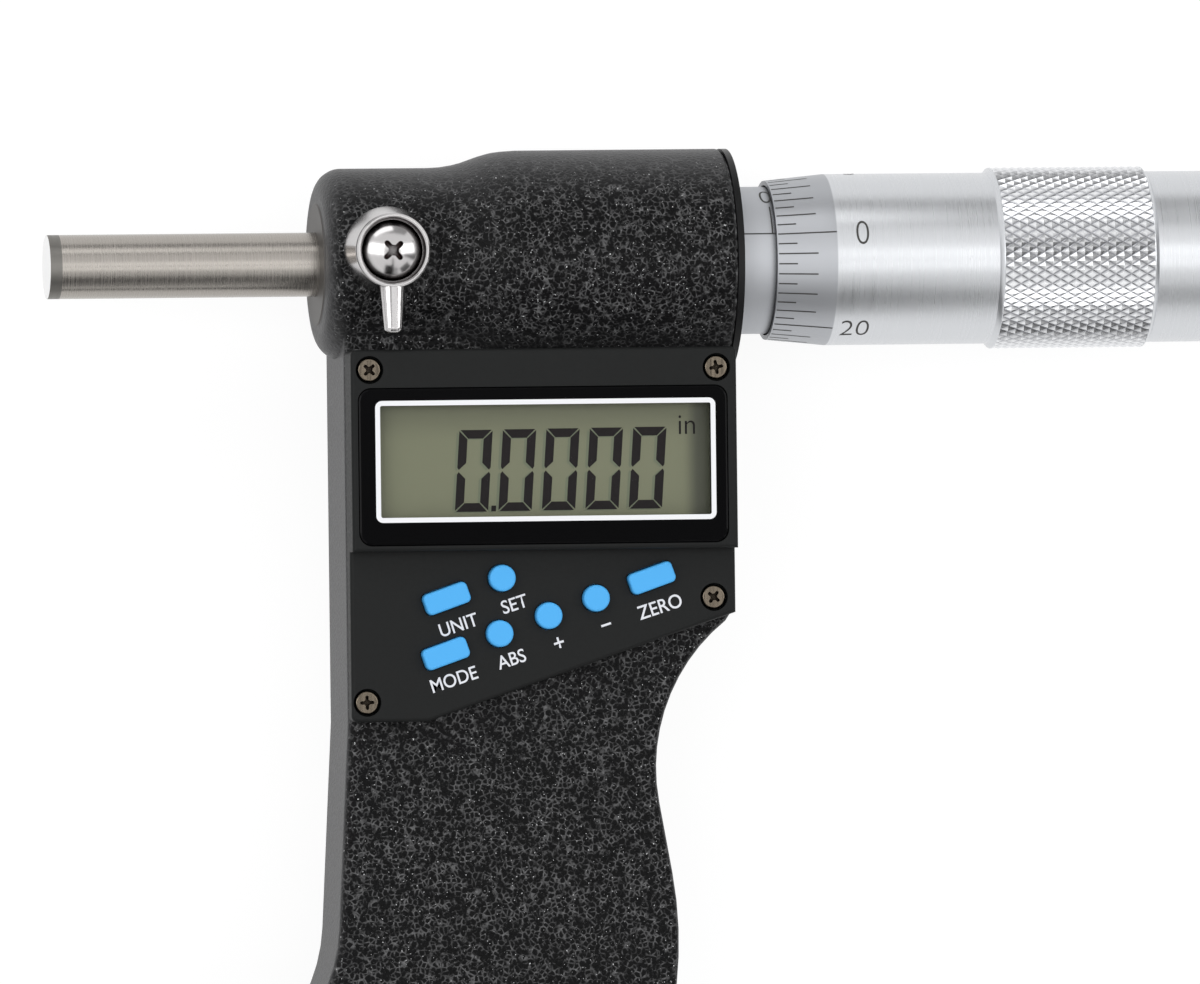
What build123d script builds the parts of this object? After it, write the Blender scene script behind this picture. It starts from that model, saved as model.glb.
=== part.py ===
from build123d import *
from math import atan2, cos, degrees, dist, pi, radians, sin, sqrt, tan
import os

# Digital outside micrometer for 127 to 152.4 mm (5 to 6 inches), lying on its back.
# The spindle axis is X. The anvil's measuring face is at the origin and the spindle
# comes towards it from +X. The bow hangs down towards -Y, and the display looks up, +Z.
# Everything is modelled at the shortest reading, with the spindle fully out.

os.makedirs("parts", exist_ok=True)

# Clearances, in millimetres
press_gap = 0.01
running_gap = 0.02
seat_gap = 0.05
sliding_gap = 0.12

# Measuring range and screw
shortest_reading = 127.0
travel = 25.4
thread_pitch = 0.635
spindle_radius = 3.25
thread_radius = 3.7
tip_length = 1.2

# Anvil side of the frame
anvil_reach = 12.0
anvil_seat_length = 16.0
anvil_boss_radius = 8.5
anvil_boss_overhang = 24.4
boss_chamfer = 1.2

# Frame casting
spindle_stand_out = 27.6
nose_step = 1.8
throat_depth = 89.3
arm_bend_y = -46.5
arm_lean = 3.07
bow_inner_radius = 403.4
bow_width = 27.0
inner_corner_radius = 17.0
outer_corner_radius = 42.0
outer_lean = 10.0
neck_radius = 19.0
neck_offset_x = 11.1
neck_centre_y = -51.6
neck_start_angle = 128.0
casting_half = 6.4
casting_edge = 0.8

# Nose and barrel
nose_radius = 9.7
nose_corner = 2.5
shoulder_start = 11.4
shoulder_end = 20.4
barrel_radius = 11.4
barrel_length = 41.5
barrel_chamfer = 0.35
spotface_radius = 5.6

# Guide bush and rotary encoder inside the barrel
bush_radius = 6.25
bush_flush = 0.12
bush_relief = 2.22
cavity_radius = 9.4
stator_thick = 1.1
stator_bore = 5.6
encoder_air_gap = 0.4
rotor_thick = 1.2
rotor_radius = 8.8
rotor_spigot = 5.0
rotor_flange = 6.2
rotor_flange_thick = 2.0
rotor_length = 8.3
key_setback = 2.4
key_radius = 0.7
keyway_floor = 2.5
keyway_margin = 2.0
spring_washer_thick = 0.3
spring_room = 2.0

# Inner barrel, sleeve and thimble
flange_length = 6.1
barrel_bore = 4.0
tube_radius = 6.48
nut_length = 15.9
sleeve_length = 35.15
sleeve_radius = 7.5
end_ring_thick = 0.65
adjuster_radius = 6.9
adjuster_length = 3.5
tail_radius = 5.4
tail_length = 4.0
split_count = 3
split_width = 0.6
split_length = 12.0
sleeve_hole_radius = 0.8
thimble_gap = 3.95
thimble_bore = 7.65
rim_radius = 8.1
cone_length = 6.1
thimble_radius = 8.725
knurl_length = 16.5
knurl_setback = 6.4
knurl_radius = 9.25
knurl_chamfer = 0.6
web_clearance = 3.45
web_thick = 8.2
taper_large = 3.4
taper_small = 2.6
end_chamfer = 0.6

# Ratchet stop
ratchet_base_radius = 6.1
ratchet_base_thick = 2.3
ratchet_teeth = 24
tooth_height = 0.6
tooth_width = 1.1
tooth_inner = 4.6
tooth_outer = 5.8
ratchet_radius = 6.75
ratchet_skirt = 6.25
ratchet_skirt_length = 2.0
ratchet_web = 5.4
ratchet_cup = 6.4
ratchet_cup_radius = 4.2
flute_count = 24
flute_radius = 0.45
flute_length = 8.0
screw_shank = 2.0
screw_thread = 1.3
screw_grip = 4.2
screw_head_radius = 3.2
screw_head_thick = 1.5
spring_wire = 0.25
spring_radius = 2.75
spring_turns = 4

# Electronics housing: outline and heights
head_inset = 0.2
cover_top = -8.8
cover_step = -29.2
cover_corner = -35.73
cover_slope_start = 7.8
cover_bottom = -46.4
keypad_face = 8.7
display_face = 10.7
side_wall = 1.3
keypad_wall = 1.2
display_wall = 1.6
gasket_thick = 0.3
gasket_inset = 0.4
gasket_width = 0.9
cover_edge = 0.4
cover_corner_radius = 0.6
pocket_floor = 2.6
pocket_land = 2.4
pocket_top_drop = 1.8
board_thick = 1.0

# Window, liquid crystal panel and what stands on the board
window_inset_left = 0.7
window_inset_right = 1.0
window_drop = 3.9
window_rise = 0.6
window_corner = 1.3
window_thick = 0.85
window_ledge = 1.3
panel_inset = 0.8
panel_thick = 2.0
panel_bottom_gap = 0.3
strip_width = 1.4
strip_inset = 0.3
chip_size = 6.0
chip_thick = 1.1
chip_y = -20.5
dome_radius = 1.6
dome_height = 0.7

# Keys: share of the way along a row that leans with the housing, and row number
key_row_angle = 19.2
key_row_start = 9.58
key_row_margin = 8.73
key_origin_y = -39.55
key_row_rise = 5.51
key_length = 4.7
key_width = 2.2
key_corner = 0.55
key_round_radius = 1.35
key_top = 9.7
key_travel = 0.6
key_flange = 0.45
key_flange_thick = 1.0
key_stem_radius = 0.8
key_edge = 0.25
keys = [
    ("mode_button", "bar", 0.0, 0),
    ("abs_button", "round", 0.2625, 0),
    ("plus_button", "round", 0.5004, 0),
    ("minus_button", "round", 0.7308, 0),
    ("zero_button", "bar", 1.0, 0),
    ("unit_button", "bar", 0.0071, 1),
    ("set_button", "round", 0.2767, 1),
]

# Cover screws: how far each stands inwards from its corner of the housing
screw_inset_high_left = (1.9, 2.03)
screw_inset_high_right = (2.07, 2.1)
screw_inset_low_right = (2.24, 1.55)
screw_inset_low_left = (1.6, 1.98)
cover_screw_head = 1.23
cover_screw_head_thick = 1.1
cover_screw_recess = 1.42
cover_screw_depth = 1.3
cover_screw_shank = 0.75
cover_boss = 2.0
cover_screw_angles = (46.0, 10.0, 52.0, 2.0)
cross_width = 0.34
cross_length = 1.45
cross_depth = 0.5

# Spindle lock
lock_setback = 5.9
lock_y = 1.2
spotface_z = 9.25
lock_base_radius = 4.48
lock_top_radius = 3.75
lock_height = 4.0
lock_rim_height = 0.8
lock_edge = 0.15
lock_recess_radius = 3.35
lock_recess_depth = 1.0
stud_radius = 2.5
stud_bottom = 6.55
lock_screw_radius = 3.1
lock_screw_dome = 1.15
lock_screw_shank = 1.2
lock_screw_length = 4.0
pad_radius = 2.0
pad_gap = 0.06
finger_root_width = 2.7
finger_root_depth = 2.3
finger_tip_width = 1.8
finger_tip_depth = 1.5
finger_reach = 8.4
lock_cross_width = 0.55
lock_cross_length = 2.5
lock_cross_depth = 1.0
lock_cross_angle = 42.0

# Battery compartment in the back of the casting
battery_y = -26.5
battery_radius = 10.0
battery_thick = 3.2
battery_edge = 0.3
contact_thick = 0.25
contact_width = 4.0
contact_rise = 0.35
cap_thick = 1.3
cap_radius = 11.0
cap_lug_reach = 1.1
cap_lug_thick = 0.6
cap_lug_angle = 24.0
cap_slot_length = 12.0
cap_slot_width = 1.6
cap_slot_depth = 0.6
cap_edge = 0.3
seal_radius = 0.4
battery_wire_radius = 1.2
flex_thick = 0.2
flex_width = 1.4

# Places along the spindle axis that follow from the sizes
nose_x = shortest_reading + spindle_stand_out
slab_x = nose_x + nose_step
barrel_end = nose_x + barrel_length
flange_x = barrel_end - flange_length
rotor_end = flange_x - spring_room
rotor_x = rotor_end - rotor_length
stator_x = rotor_x - encoder_air_gap
cavity_x = stator_x - stator_thick
key_x = rotor_end - key_setback
ring_x = barrel_end + seat_gap + end_ring_thick
thimble_x = ring_x + thimble_gap
sleeve_end = ring_x + sleeve_length
tail_end = sleeve_end + seat_gap + tail_length
nut_x = tail_end - nut_length
web_x = tail_end + web_clearance
thimble_end = web_x + web_thick
arm_x = -anvil_reach - nose_step
middle_x = (slab_x + arm_x) / 2
bow_centre_y = bow_inner_radius - throat_depth
lock_x = nose_x + lock_setback

# Places on the electronics housing that follow from the sizes
head_right = barrel_end - head_inset
head_middle = (slab_x + head_right) / 2
cover_slope_x = slab_x + cover_slope_start
window_left = slab_x + window_inset_left
window_right = head_right - window_inset_right
window_top = cover_top - window_drop
window_bottom = cover_step + window_rise
key_row_length = (head_right - slab_x - key_row_start - key_row_margin) / cos(radians(key_row_angle))
cover_screw_places = [
    (slab_x + screw_inset_high_left[0], cover_top - screw_inset_high_left[1]),
    (head_right - screw_inset_high_right[0], cover_top - screw_inset_high_right[1]),
    (head_right - screw_inset_low_right[0], cover_corner + screw_inset_low_right[1]),
    (slab_x + screw_inset_low_left[0], cover_bottom + screw_inset_low_left[1]),
]
flex_x = cavity_x + stator_thick / 2
flex_low_y = cover_top - pocket_top_drop - pocket_land - 2 * strip_width

# Heights that follow from the sizes
cover_base = casting_half + gasket_thick
board_top = pocket_floor + board_thick
panel_top = display_face - display_wall - seat_gap
panel_bottom = panel_top - panel_thick
dome_top = board_top + dome_height
lock_base_z = spotface_z + 2 * seat_gap
lock_top_z = lock_base_z + lock_height
lock_seat_z = lock_top_z - lock_recess_depth
cap_inner_z = -casting_half + cap_thick
battery_low_z = cap_inner_z + seat_gap
battery_high_z = battery_low_z + battery_thick
contact_z = battery_high_z + seat_gap + contact_rise
battery_roof_z = contact_z + contact_thick


def turned(points, mode=Mode.ADD):
    """A body turned about the spindle axis, from its half section of (x, radius) points."""
    with BuildSketch() as section:
        with BuildLine():
            Polyline(*points, close=True)
        make_face()
    revolve(section.sketch, axis=Axis.X, mode=mode)


def ring(x_low, x_high, inner, outer, mode=Mode.ADD):
    """A plain turned ring, or a disc where the inner radius is 0."""
    turned([(x_low, inner), (x_high, inner), (x_high, outer), (x_low, outer)], mode)


def barrel_shape(extra=0.0, mode=Mode.ADD):
    """The casting's nose, shoulder and barrel, grown outwards by an extra radius."""
    shoulder_low = (nose_x + shoulder_start, nose_radius + extra)
    shoulder_high = (nose_x + shoulder_end, barrel_radius + extra)
    shoulder_mid = ((shoulder_low[0] + shoulder_high[0]) / 2, (shoulder_low[1] + shoulder_high[1]) / 2)
    with BuildSketch() as section:
        with BuildLine():
            Line((nose_x, 0), (nose_x, nose_radius + extra - nose_corner))
            RadiusArc((nose_x, nose_radius + extra - nose_corner),
                      (nose_x + nose_corner, nose_radius + extra), nose_corner)
            Line((nose_x + nose_corner, nose_radius + extra), shoulder_low)
            TangentArc(shoulder_low, shoulder_mid, tangent=(1, 0))
            TangentArc(shoulder_high, shoulder_mid, tangent=(-1, 0))
            Polyline(shoulder_high, (barrel_end - barrel_chamfer, barrel_radius + extra),
                     (barrel_end, barrel_radius + extra - barrel_chamfer), (barrel_end, 0), (nose_x, 0))
        make_face()
    revolve(section.sketch, axis=Axis.X, mode=mode)


def bow_meeting(start, lean, radius):
    """Where a line that goes down from start, leaning lean degrees towards +X, meets a bow circle."""
    dx, dy = sin(radians(lean)), -cos(radians(lean))
    px, py = start[0] - middle_x, start[1] - bow_centre_y
    along = -(px * dx + py * dy)
    reach = along + sqrt(along**2 - (px**2 + py**2 - radius**2))
    return start[0] + reach * dx, start[1] + reach * dy


def mirrored(point):
    """The same point on the anvil side of the frame."""
    return 2 * middle_x - point[0], point[1]


def bow_arc(end, radius):
    """The stretch of a bow circle from the anvil side's mirrored end to the given end."""
    half = degrees(atan2(end[0] - middle_x, bow_centre_y - end[1]))
    CenterArc((middle_x, bow_centre_y), radius, 270 - half, 2 * half)


def cover_polygon(top):
    """The electronics housing's outline, with its upper edge at the given height."""
    with BuildLine() as outline:
        Polyline((slab_x, top), (head_right, top), (head_right, cover_corner),
                 (cover_slope_x, cover_bottom), (slab_x, cover_bottom), close=True)
    make_face(outline.line)


def pocket_outline(clearance=0.0):
    """The outline of the pocket for the board, shrunk by a clearance."""
    cover_polygon(cover_top - pocket_top_drop)
    offset(amount=-pocket_land - clearance, mode=Mode.REPLACE)
    with Locations(*cover_screw_places[2:]):
        Circle(cover_boss + clearance, mode=Mode.SUBTRACT)


def key_place(share, row):
    """The middle of a key, from its share of the way along the leaning row."""
    lean = radians(key_row_angle)
    along = share * key_row_length
    return slab_x + key_row_start + along * cos(lean), key_origin_y + along * sin(lean) + row * key_row_rise


def key_shape(kind, extra):
    """A key's outline at its place, grown by an extra width all round."""
    if kind == "bar":
        RectangleRounded(key_length + 2 * extra, key_width + 2 * extra, key_corner + extra,
                         rotation=key_row_angle)
    else:
        Circle(key_round_radius + extra)


def cross_recess(place, z_top, width, length, depth, angle):
    """A cross recess sunk from z_top at a place on the front, turned by an angle."""
    with BuildSketch(Plane.XY.offset(z_top)) as cross:
        with Locations(place):
            SlotOverall(length, width, rotation=angle)
            SlotOverall(length, width, rotation=angle + 90)
            Circle(width)
    extrude(cross.sketch, amount=-depth, mode=Mode.SUBTRACT)


def save(builder, label):
    """Label a finished piece and write its STEP file."""
    builder.part.label = label
    export_step(builder.part, f"parts/{label}.step")


# The casting's outline, seen from the front
inner_bend = (slab_x, arm_bend_y)
inner_corner = bow_meeting(inner_bend, -arm_lean, bow_inner_radius)
neck_centre = (head_right + neck_offset_x, neck_centre_y)
neck_end_angle = 180 + outer_lean
neck_start = (neck_centre[0] + neck_radius * cos(radians(neck_start_angle)),
              neck_centre_y + neck_radius * sin(radians(neck_start_angle)))
neck_end = (neck_centre[0] + neck_radius * cos(radians(neck_end_angle)),
            neck_centre_y + neck_radius * sin(radians(neck_end_angle)))
outer_corner = bow_meeting(neck_end, outer_lean, bow_inner_radius + bow_width)
arm_top = (mirrored(neck_end)[0] - neck_end[1] * tan(radians(outer_lean)), 0)
inner_round = min(inner_corner_radius, 0.75 * dist(inner_bend, inner_corner))
outer_round = min(outer_corner_radius, 0.9 * dist(neck_end, outer_corner))

with BuildSketch() as casting_outline:
    with BuildLine():
        Polyline((slab_x, 0), (head_right, 0), (head_right, cover_corner), neck_start)
        CenterArc(neck_centre, neck_radius, neck_start_angle, neck_end_angle - neck_start_angle)
        Line(neck_end, outer_corner)
        bow_arc(outer_corner, bow_inner_radius + bow_width)
        Polyline(mirrored(outer_corner), arm_top, (arm_x, 0), mirrored(inner_bend), mirrored(inner_corner))
        bow_arc(inner_corner, bow_inner_radius)
        Polyline(inner_corner, inner_bend, (slab_x, 0))
    make_face()
    for corner, radius in ((inner_corner, inner_round), (outer_corner, outer_round)):
        for spot in (corner, mirrored(corner)):
            fillet(casting_outline.vertices().sort_by_distance((*spot, 0))[0], radius)

# One-piece frame: bow, head slab, nose and barrel, and anvil boss
with BuildPart() as frame:
    extrude(casting_outline.sketch, amount=casting_half, both=True)
    fillet(frame.faces().sort_by(Axis.Z)[-1].edges() + frame.faces().sort_by(Axis.Z)[0].edges(), casting_edge)
    barrel_shape()
    boss_end = -anvil_reach - anvil_boss_overhang
    turned([(boss_end, 0), (boss_end, anvil_boss_radius - boss_chamfer),
            (boss_end + boss_chamfer, anvil_boss_radius), (-anvil_reach - boss_chamfer, anvil_boss_radius),
            (-anvil_reach, anvil_boss_radius - boss_chamfer), (-anvil_reach, 0)])
    # bores for the guide bush, the encoder and the anvil
    ring(nose_x, cavity_x, 0, bush_radius + press_gap, Mode.SUBTRACT)
    ring(cavity_x, barrel_end, 0, cavity_radius, Mode.SUBTRACT)
    ring(-anvil_reach - anvil_seat_length, -anvil_reach, 0, spindle_radius + press_gap, Mode.SUBTRACT)
    # spotface and threaded hole for the spindle lock
    with BuildSketch(Plane.XY.offset(spotface_z)):
        with Locations((lock_x, lock_y)):
            Circle(spotface_radius)
    extrude(amount=barrel_radius, mode=Mode.SUBTRACT)
    with BuildSketch():
        with Locations((lock_x, lock_y)):
            Circle(stud_radius + running_gap)
    extrude(amount=barrel_radius, mode=Mode.SUBTRACT)
    # pocket for the board, and a way from it to the encoder
    with BuildSketch(Plane.XY.offset(casting_half)):
        pocket_outline()
    extrude(amount=pocket_floor - casting_half, mode=Mode.SUBTRACT)
    with BuildSketch(Plane.XY.offset(board_top)):
        with Locations((flex_x, flex_low_y / 2)):
            Rectangle(stator_thick, -flex_low_y)
    extrude(amount=flex_width + 2 * sliding_gap, mode=Mode.SUBTRACT)
    # screw holes for the cover
    with BuildSketch(Plane.XY.offset(casting_half)):
        with Locations(*cover_screw_places):
            Circle(cover_screw_shank + running_gap)
    extrude(amount=pocket_floor - casting_half - board_thick, mode=Mode.SUBTRACT)
    # battery pocket in the back, with a bayonet groove and two ways in for the cap's lugs
    groove_radius = cap_radius + cap_lug_reach + 2 * sliding_gap
    with BuildSketch(Plane.XY.offset(-casting_half)):
        with Locations((head_middle, battery_y)):
            Circle(cap_radius + sliding_gap)
    extrude(amount=casting_half + battery_roof_z, mode=Mode.SUBTRACT)
    with BuildSketch(Plane.XY.offset(cap_inner_z + seat_gap)):
        with Locations((head_middle, battery_y)):
            Circle(groove_radius)
    extrude(amount=-cap_lug_thick - 2 * seat_gap, mode=Mode.SUBTRACT)
    with BuildSketch(Plane.XY.offset(-casting_half)):
        with Locations((head_middle, battery_y)):
            Rectangle(2 * groove_radius * sin(radians(cap_lug_angle / 2)) + 4 * sliding_gap,
                      2 * groove_radius * cos(radians(cap_lug_angle / 2)))
    extrude(amount=cap_thick, mode=Mode.SUBTRACT)
    with BuildSketch():
        with Locations((head_middle + battery_radius - 2 * battery_wire_radius, battery_y)):
            Circle(battery_wire_radius)
    extrude(amount=battery_thick, both=True, mode=Mode.SUBTRACT)
save(frame, "frame")

# Anvil, pressed into its boss, and its carbide face
with BuildPart() as anvil:
    anvil_back = -anvil_reach - anvil_seat_length + seat_gap
    turned([(anvil_back, 0), (anvil_back, spindle_radius - end_chamfer),
            (anvil_back + end_chamfer, spindle_radius), (-tip_length, spindle_radius), (-tip_length, 0)])
save(anvil, "anvil")

with BuildPart() as anvil_tip:
    ring(-tip_length, 0, 0, spindle_radius)
save(anvil_tip, "anvil_tip")

# Hardened bush that guides the spindle, with a window for the lock's pad
with BuildPart() as nose_bush:
    bush_face = nose_x - bush_flush
    bush_step = cavity_x - bush_relief
    bush_end = rotor_x - seat_gap
    turned([(bush_face, spindle_radius + running_gap), (bush_end, spindle_radius + running_gap),
            (bush_end, rotor_spigot), (bush_step, rotor_spigot), (bush_step, bush_radius),
            (bush_face + bush_flush, bush_radius), (bush_face, bush_radius - bush_flush)])
    with BuildSketch():
        with Locations((lock_x, lock_y)):
            Circle(pad_radius + seat_gap)
    extrude(amount=bush_radius + seat_gap, mode=Mode.SUBTRACT)
save(nose_bush, "nose_bush")

# Black ring between the barrel and the sleeve
with BuildPart() as end_ring:
    ring(barrel_end + seat_gap, ring_x, sleeve_radius + running_gap, barrel_radius)
save(end_ring, "end_ring")

# Inner barrel: flange in the casting, tube for the sleeve, and a split nut at its end
with BuildPart() as inner_barrel:
    tube_end = sleeve_end + seat_gap
    turned([(flange_x, barrel_bore), (nut_x, barrel_bore), (nut_x, thread_radius + running_gap),
            (tail_end, thread_radius + running_gap), (tail_end, tail_radius), (tube_end, tail_radius),
            (tube_end, tube_radius), (barrel_end, tube_radius), (barrel_end, cavity_radius - running_gap),
            (flange_x, cavity_radius - running_gap)])
    for number in range(split_count):
        turn = 90 + 360 * number / split_count
        outwards = Vector(0, 1, 0).rotate(Axis.X, turn)
        with BuildSketch(Plane((tail_end - split_length / 2, 0, 0), x_dir=(1, 0, 0), z_dir=outwards)):
            Rectangle(split_length, split_width)
        extrude(amount=tube_radius + seat_gap, mode=Mode.SUBTRACT)
save(inner_barrel, "inner_barrel")

# Sleeve that carries the reading line, with its spanner hole at the back
with BuildPart() as sleeve:
    ring(barrel_end + seat_gap, sleeve_end, tube_radius + running_gap, sleeve_radius)
    with BuildSketch(Plane((ring_x + thimble_gap / 2, 0, 0), z_dir=(0, 0, -1))):
        Circle(sleeve_hole_radius)
    extrude(amount=sleeve_radius + seat_gap, mode=Mode.SUBTRACT)
save(sleeve, "sleeve")

# Nut that closes the split end to take up wear
with BuildPart() as adjusting_nut:
    nut_low = sleeve_end + 2 * seat_gap
    ring(nut_low, nut_low + adjuster_length, tail_radius + running_gap, adjuster_radius)
    with BuildSketch(Plane.YZ.offset(nut_low + adjuster_length)):
        Rectangle(2 * adjuster_radius, split_width * 2)
    extrude(amount=-adjuster_length / 2, mode=Mode.SUBTRACT)
save(adjusting_nut, "adjusting_nut")

# Encoder: stator in the casting, rotor disc on a bush that is keyed to the spindle
with BuildPart() as encoder_stator:
    ring(cavity_x, stator_x, stator_bore, cavity_radius - seat_gap)
save(encoder_stator, "encoder_stator")

with BuildPart() as encoder_rotor:
    ring(rotor_x, rotor_x + rotor_thick, rotor_spigot + running_gap, rotor_radius)
save(encoder_rotor, "encoder_rotor")

with BuildPart() as rotor_bush:
    disc_back = rotor_x + rotor_thick
    turned([(rotor_x, spindle_radius + running_gap), (rotor_end, spindle_radius + running_gap),
            (rotor_end, rotor_spigot), (disc_back + rotor_flange_thick, rotor_spigot),
            (disc_back + rotor_flange_thick, rotor_flange), (disc_back, rotor_flange),
            (disc_back, rotor_spigot), (rotor_x, rotor_spigot)])
    with BuildSketch(Plane((key_x, 0, 0), z_dir=(0, 1, 0))):
        Circle(key_radius + press_gap)
    extrude(amount=rotor_spigot + seat_gap, mode=Mode.SUBTRACT)
save(rotor_bush, "rotor_bush")

with BuildPart() as rotor_key:
    with BuildSketch(Plane((key_x, keyway_floor + seat_gap, 0), z_dir=(0, 1, 0))):
        Circle(key_radius)
    extrude(amount=rotor_spigot - keyway_floor - seat_gap)
save(rotor_key, "rotor_key")

# Conical spring washer that keeps the rotor against the guide bush
with BuildPart() as rotor_spring:
    washer_low = rotor_end + seat_gap
    washer_high = flange_x - seat_gap
    turned([(washer_low, barrel_bore), (washer_low + spring_washer_thick, barrel_bore),
            (washer_high, rotor_flange), (washer_high - spring_washer_thick, rotor_flange)])
save(rotor_spring, "rotor_spring")

# Spindle: ground shank with a keyway, thread, and taper for the thimble
with BuildPart() as spindle:
    spindle_tip_x = shortest_reading + tip_length
    thread_start = flange_x + spindle_radius
    thread_end = nut_x + split_length + travel / 4
    turned([(spindle_tip_x, 0), (spindle_tip_x, spindle_radius), (thread_start - end_chamfer, spindle_radius),
            (thread_start, thread_radius), (thread_end - end_chamfer, thread_radius),
            (thread_end, taper_large - press_gap), (web_x, taper_large - press_gap),
            (thimble_end, taper_small - press_gap), (thimble_end, 0)])
    keyway_low = key_x - travel - keyway_margin
    keyway_high = key_x + keyway_margin
    with BuildSketch(Plane(((keyway_low + keyway_high) / 2, keyway_floor, 0), x_dir=(1, 0, 0), z_dir=(0, 1, 0))):
        SlotOverall(keyway_high - keyway_low, 2 * key_radius + 2 * seat_gap)
    extrude(amount=spindle_radius, mode=Mode.SUBTRACT)
    ring(thimble_end - screw_grip - seat_gap, thimble_end, 0, screw_thread + running_gap, Mode.SUBTRACT)
save(spindle, "spindle")

with BuildPart() as spindle_tip:
    ring(shortest_reading, shortest_reading + tip_length, 0, spindle_radius)
save(spindle_tip, "spindle_tip")

# Thimble: thin skirt over the sleeve, knurled band, and a web with a tapered seat
with BuildPart() as thimble:
    knurl_end = thimble_end - knurl_setback
    knurl_x = knurl_end - knurl_length - 2 * knurl_chamfer
    turned([(thimble_x, thimble_bore), (web_x, thimble_bore), (web_x, taper_large),
            (thimble_end, taper_small), (thimble_end, thimble_radius - end_chamfer),
            (thimble_end - end_chamfer, thimble_radius), (knurl_end, thimble_radius),
            (knurl_end - knurl_chamfer, knurl_radius), (knurl_x + knurl_chamfer, knurl_radius),
            (knurl_x, thimble_radius), (thimble_x + cone_length, thimble_radius), (thimble_x, rim_radius)])
save(thimble, "thimble")


def ratchet_tooth(number, corners):
    """One tooth of the ratchet, from its (along the axis, round the axis) corners."""
    outwards = Vector(0, 0, 1).rotate(Axis.X, 360 * number / ratchet_teeth)
    centre = Vector(ratchet_face, 0, 0) + outwards * tooth_inner
    with BuildSketch(Plane(centre, x_dir=(1, 0, 0), z_dir=outwards)) as profile:
        with BuildLine():
            Polyline(*corners, close=True)
        make_face()
    extrude(profile.sketch, amount=tooth_outer - tooth_inner)


# Ratchet stop: toothed disc on the spindle, fluted cap, screw and spring
ratchet_face = thimble_end + ratchet_base_thick
cap_face = ratchet_face + tooth_height + seat_gap
cup_floor = cap_face + ratchet_web
cap_end = cup_floor + ratchet_cup
screw_head_x = cap_end - 1.7 * screw_head_thick

with BuildPart() as ratchet_base:
    ring(thimble_end, ratchet_face, screw_thread + running_gap, ratchet_base_radius)
    for number in range(ratchet_teeth):
        ratchet_tooth(number, [(-seat_gap, 0), (tooth_height, 0), (0, tooth_width), (-seat_gap, tooth_width)])
save(ratchet_base, "ratchet_base")

with BuildPart() as ratchet_cap:
    turned([(thimble_end + ratchet_base_thick - ratchet_skirt_length, ratchet_skirt),
            (cap_face, ratchet_skirt), (cap_face, screw_shank + seat_gap), (cup_floor, screw_shank + seat_gap),
            (cup_floor, ratchet_cup_radius), (cap_end, ratchet_cup_radius),
            (cap_end, ratchet_radius - end_chamfer), (cap_end - end_chamfer, ratchet_radius),
            (thimble_end + ratchet_base_thick - ratchet_skirt_length, ratchet_radius)])
    with BuildSketch(Plane.YZ.offset(cap_end - end_chamfer)):
        with PolarLocations(ratchet_radius, flute_count):
            Circle(flute_radius)
    extrude(amount=-flute_length, mode=Mode.SUBTRACT)
    reach = tooth_height + seat_gap
    for number in range(ratchet_teeth):
        ratchet_tooth(number, [(reach + seat_gap, running_gap), (reach + seat_gap, tooth_width + running_gap),
                               (seat_gap, tooth_width + running_gap), (reach, running_gap)])
save(ratchet_cap, "ratchet_cap")

with BuildPart() as ratchet_screw:
    turned([(thimble_end - screw_grip, 0), (thimble_end - screw_grip, screw_thread),
            (ratchet_face + seat_gap, screw_thread), (ratchet_face + seat_gap, screw_shank),
            (screw_head_x, screw_shank), (screw_head_x, screw_head_radius),
            (screw_head_x + screw_head_thick, screw_head_radius), (screw_head_x + screw_head_thick, 0)])
    with BuildSketch(Plane.YZ.offset(screw_head_x + screw_head_thick)):
        Rectangle(2 * screw_head_radius, split_width)
    extrude(amount=-screw_head_thick / 2, mode=Mode.SUBTRACT)
save(ratchet_screw, "ratchet_screw")

with BuildPart() as ratchet_spring:
    spring_low = cup_floor + spring_wire + seat_gap
    spring_length = screw_head_x - seat_gap - spring_wire - spring_low
    with BuildLine() as coil:
        Helix(spring_length / spring_turns, spring_length, spring_radius, center=(spring_low, 0, 0),
              direction=(1, 0, 0))
    with BuildSketch(Plane(coil.line @ 0, z_dir=coil.line % 0)):
        Circle(spring_wire)
    sweep(path=coil.line, is_frenet=True)
save(ratchet_spring, "ratchet_spring")

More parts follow.
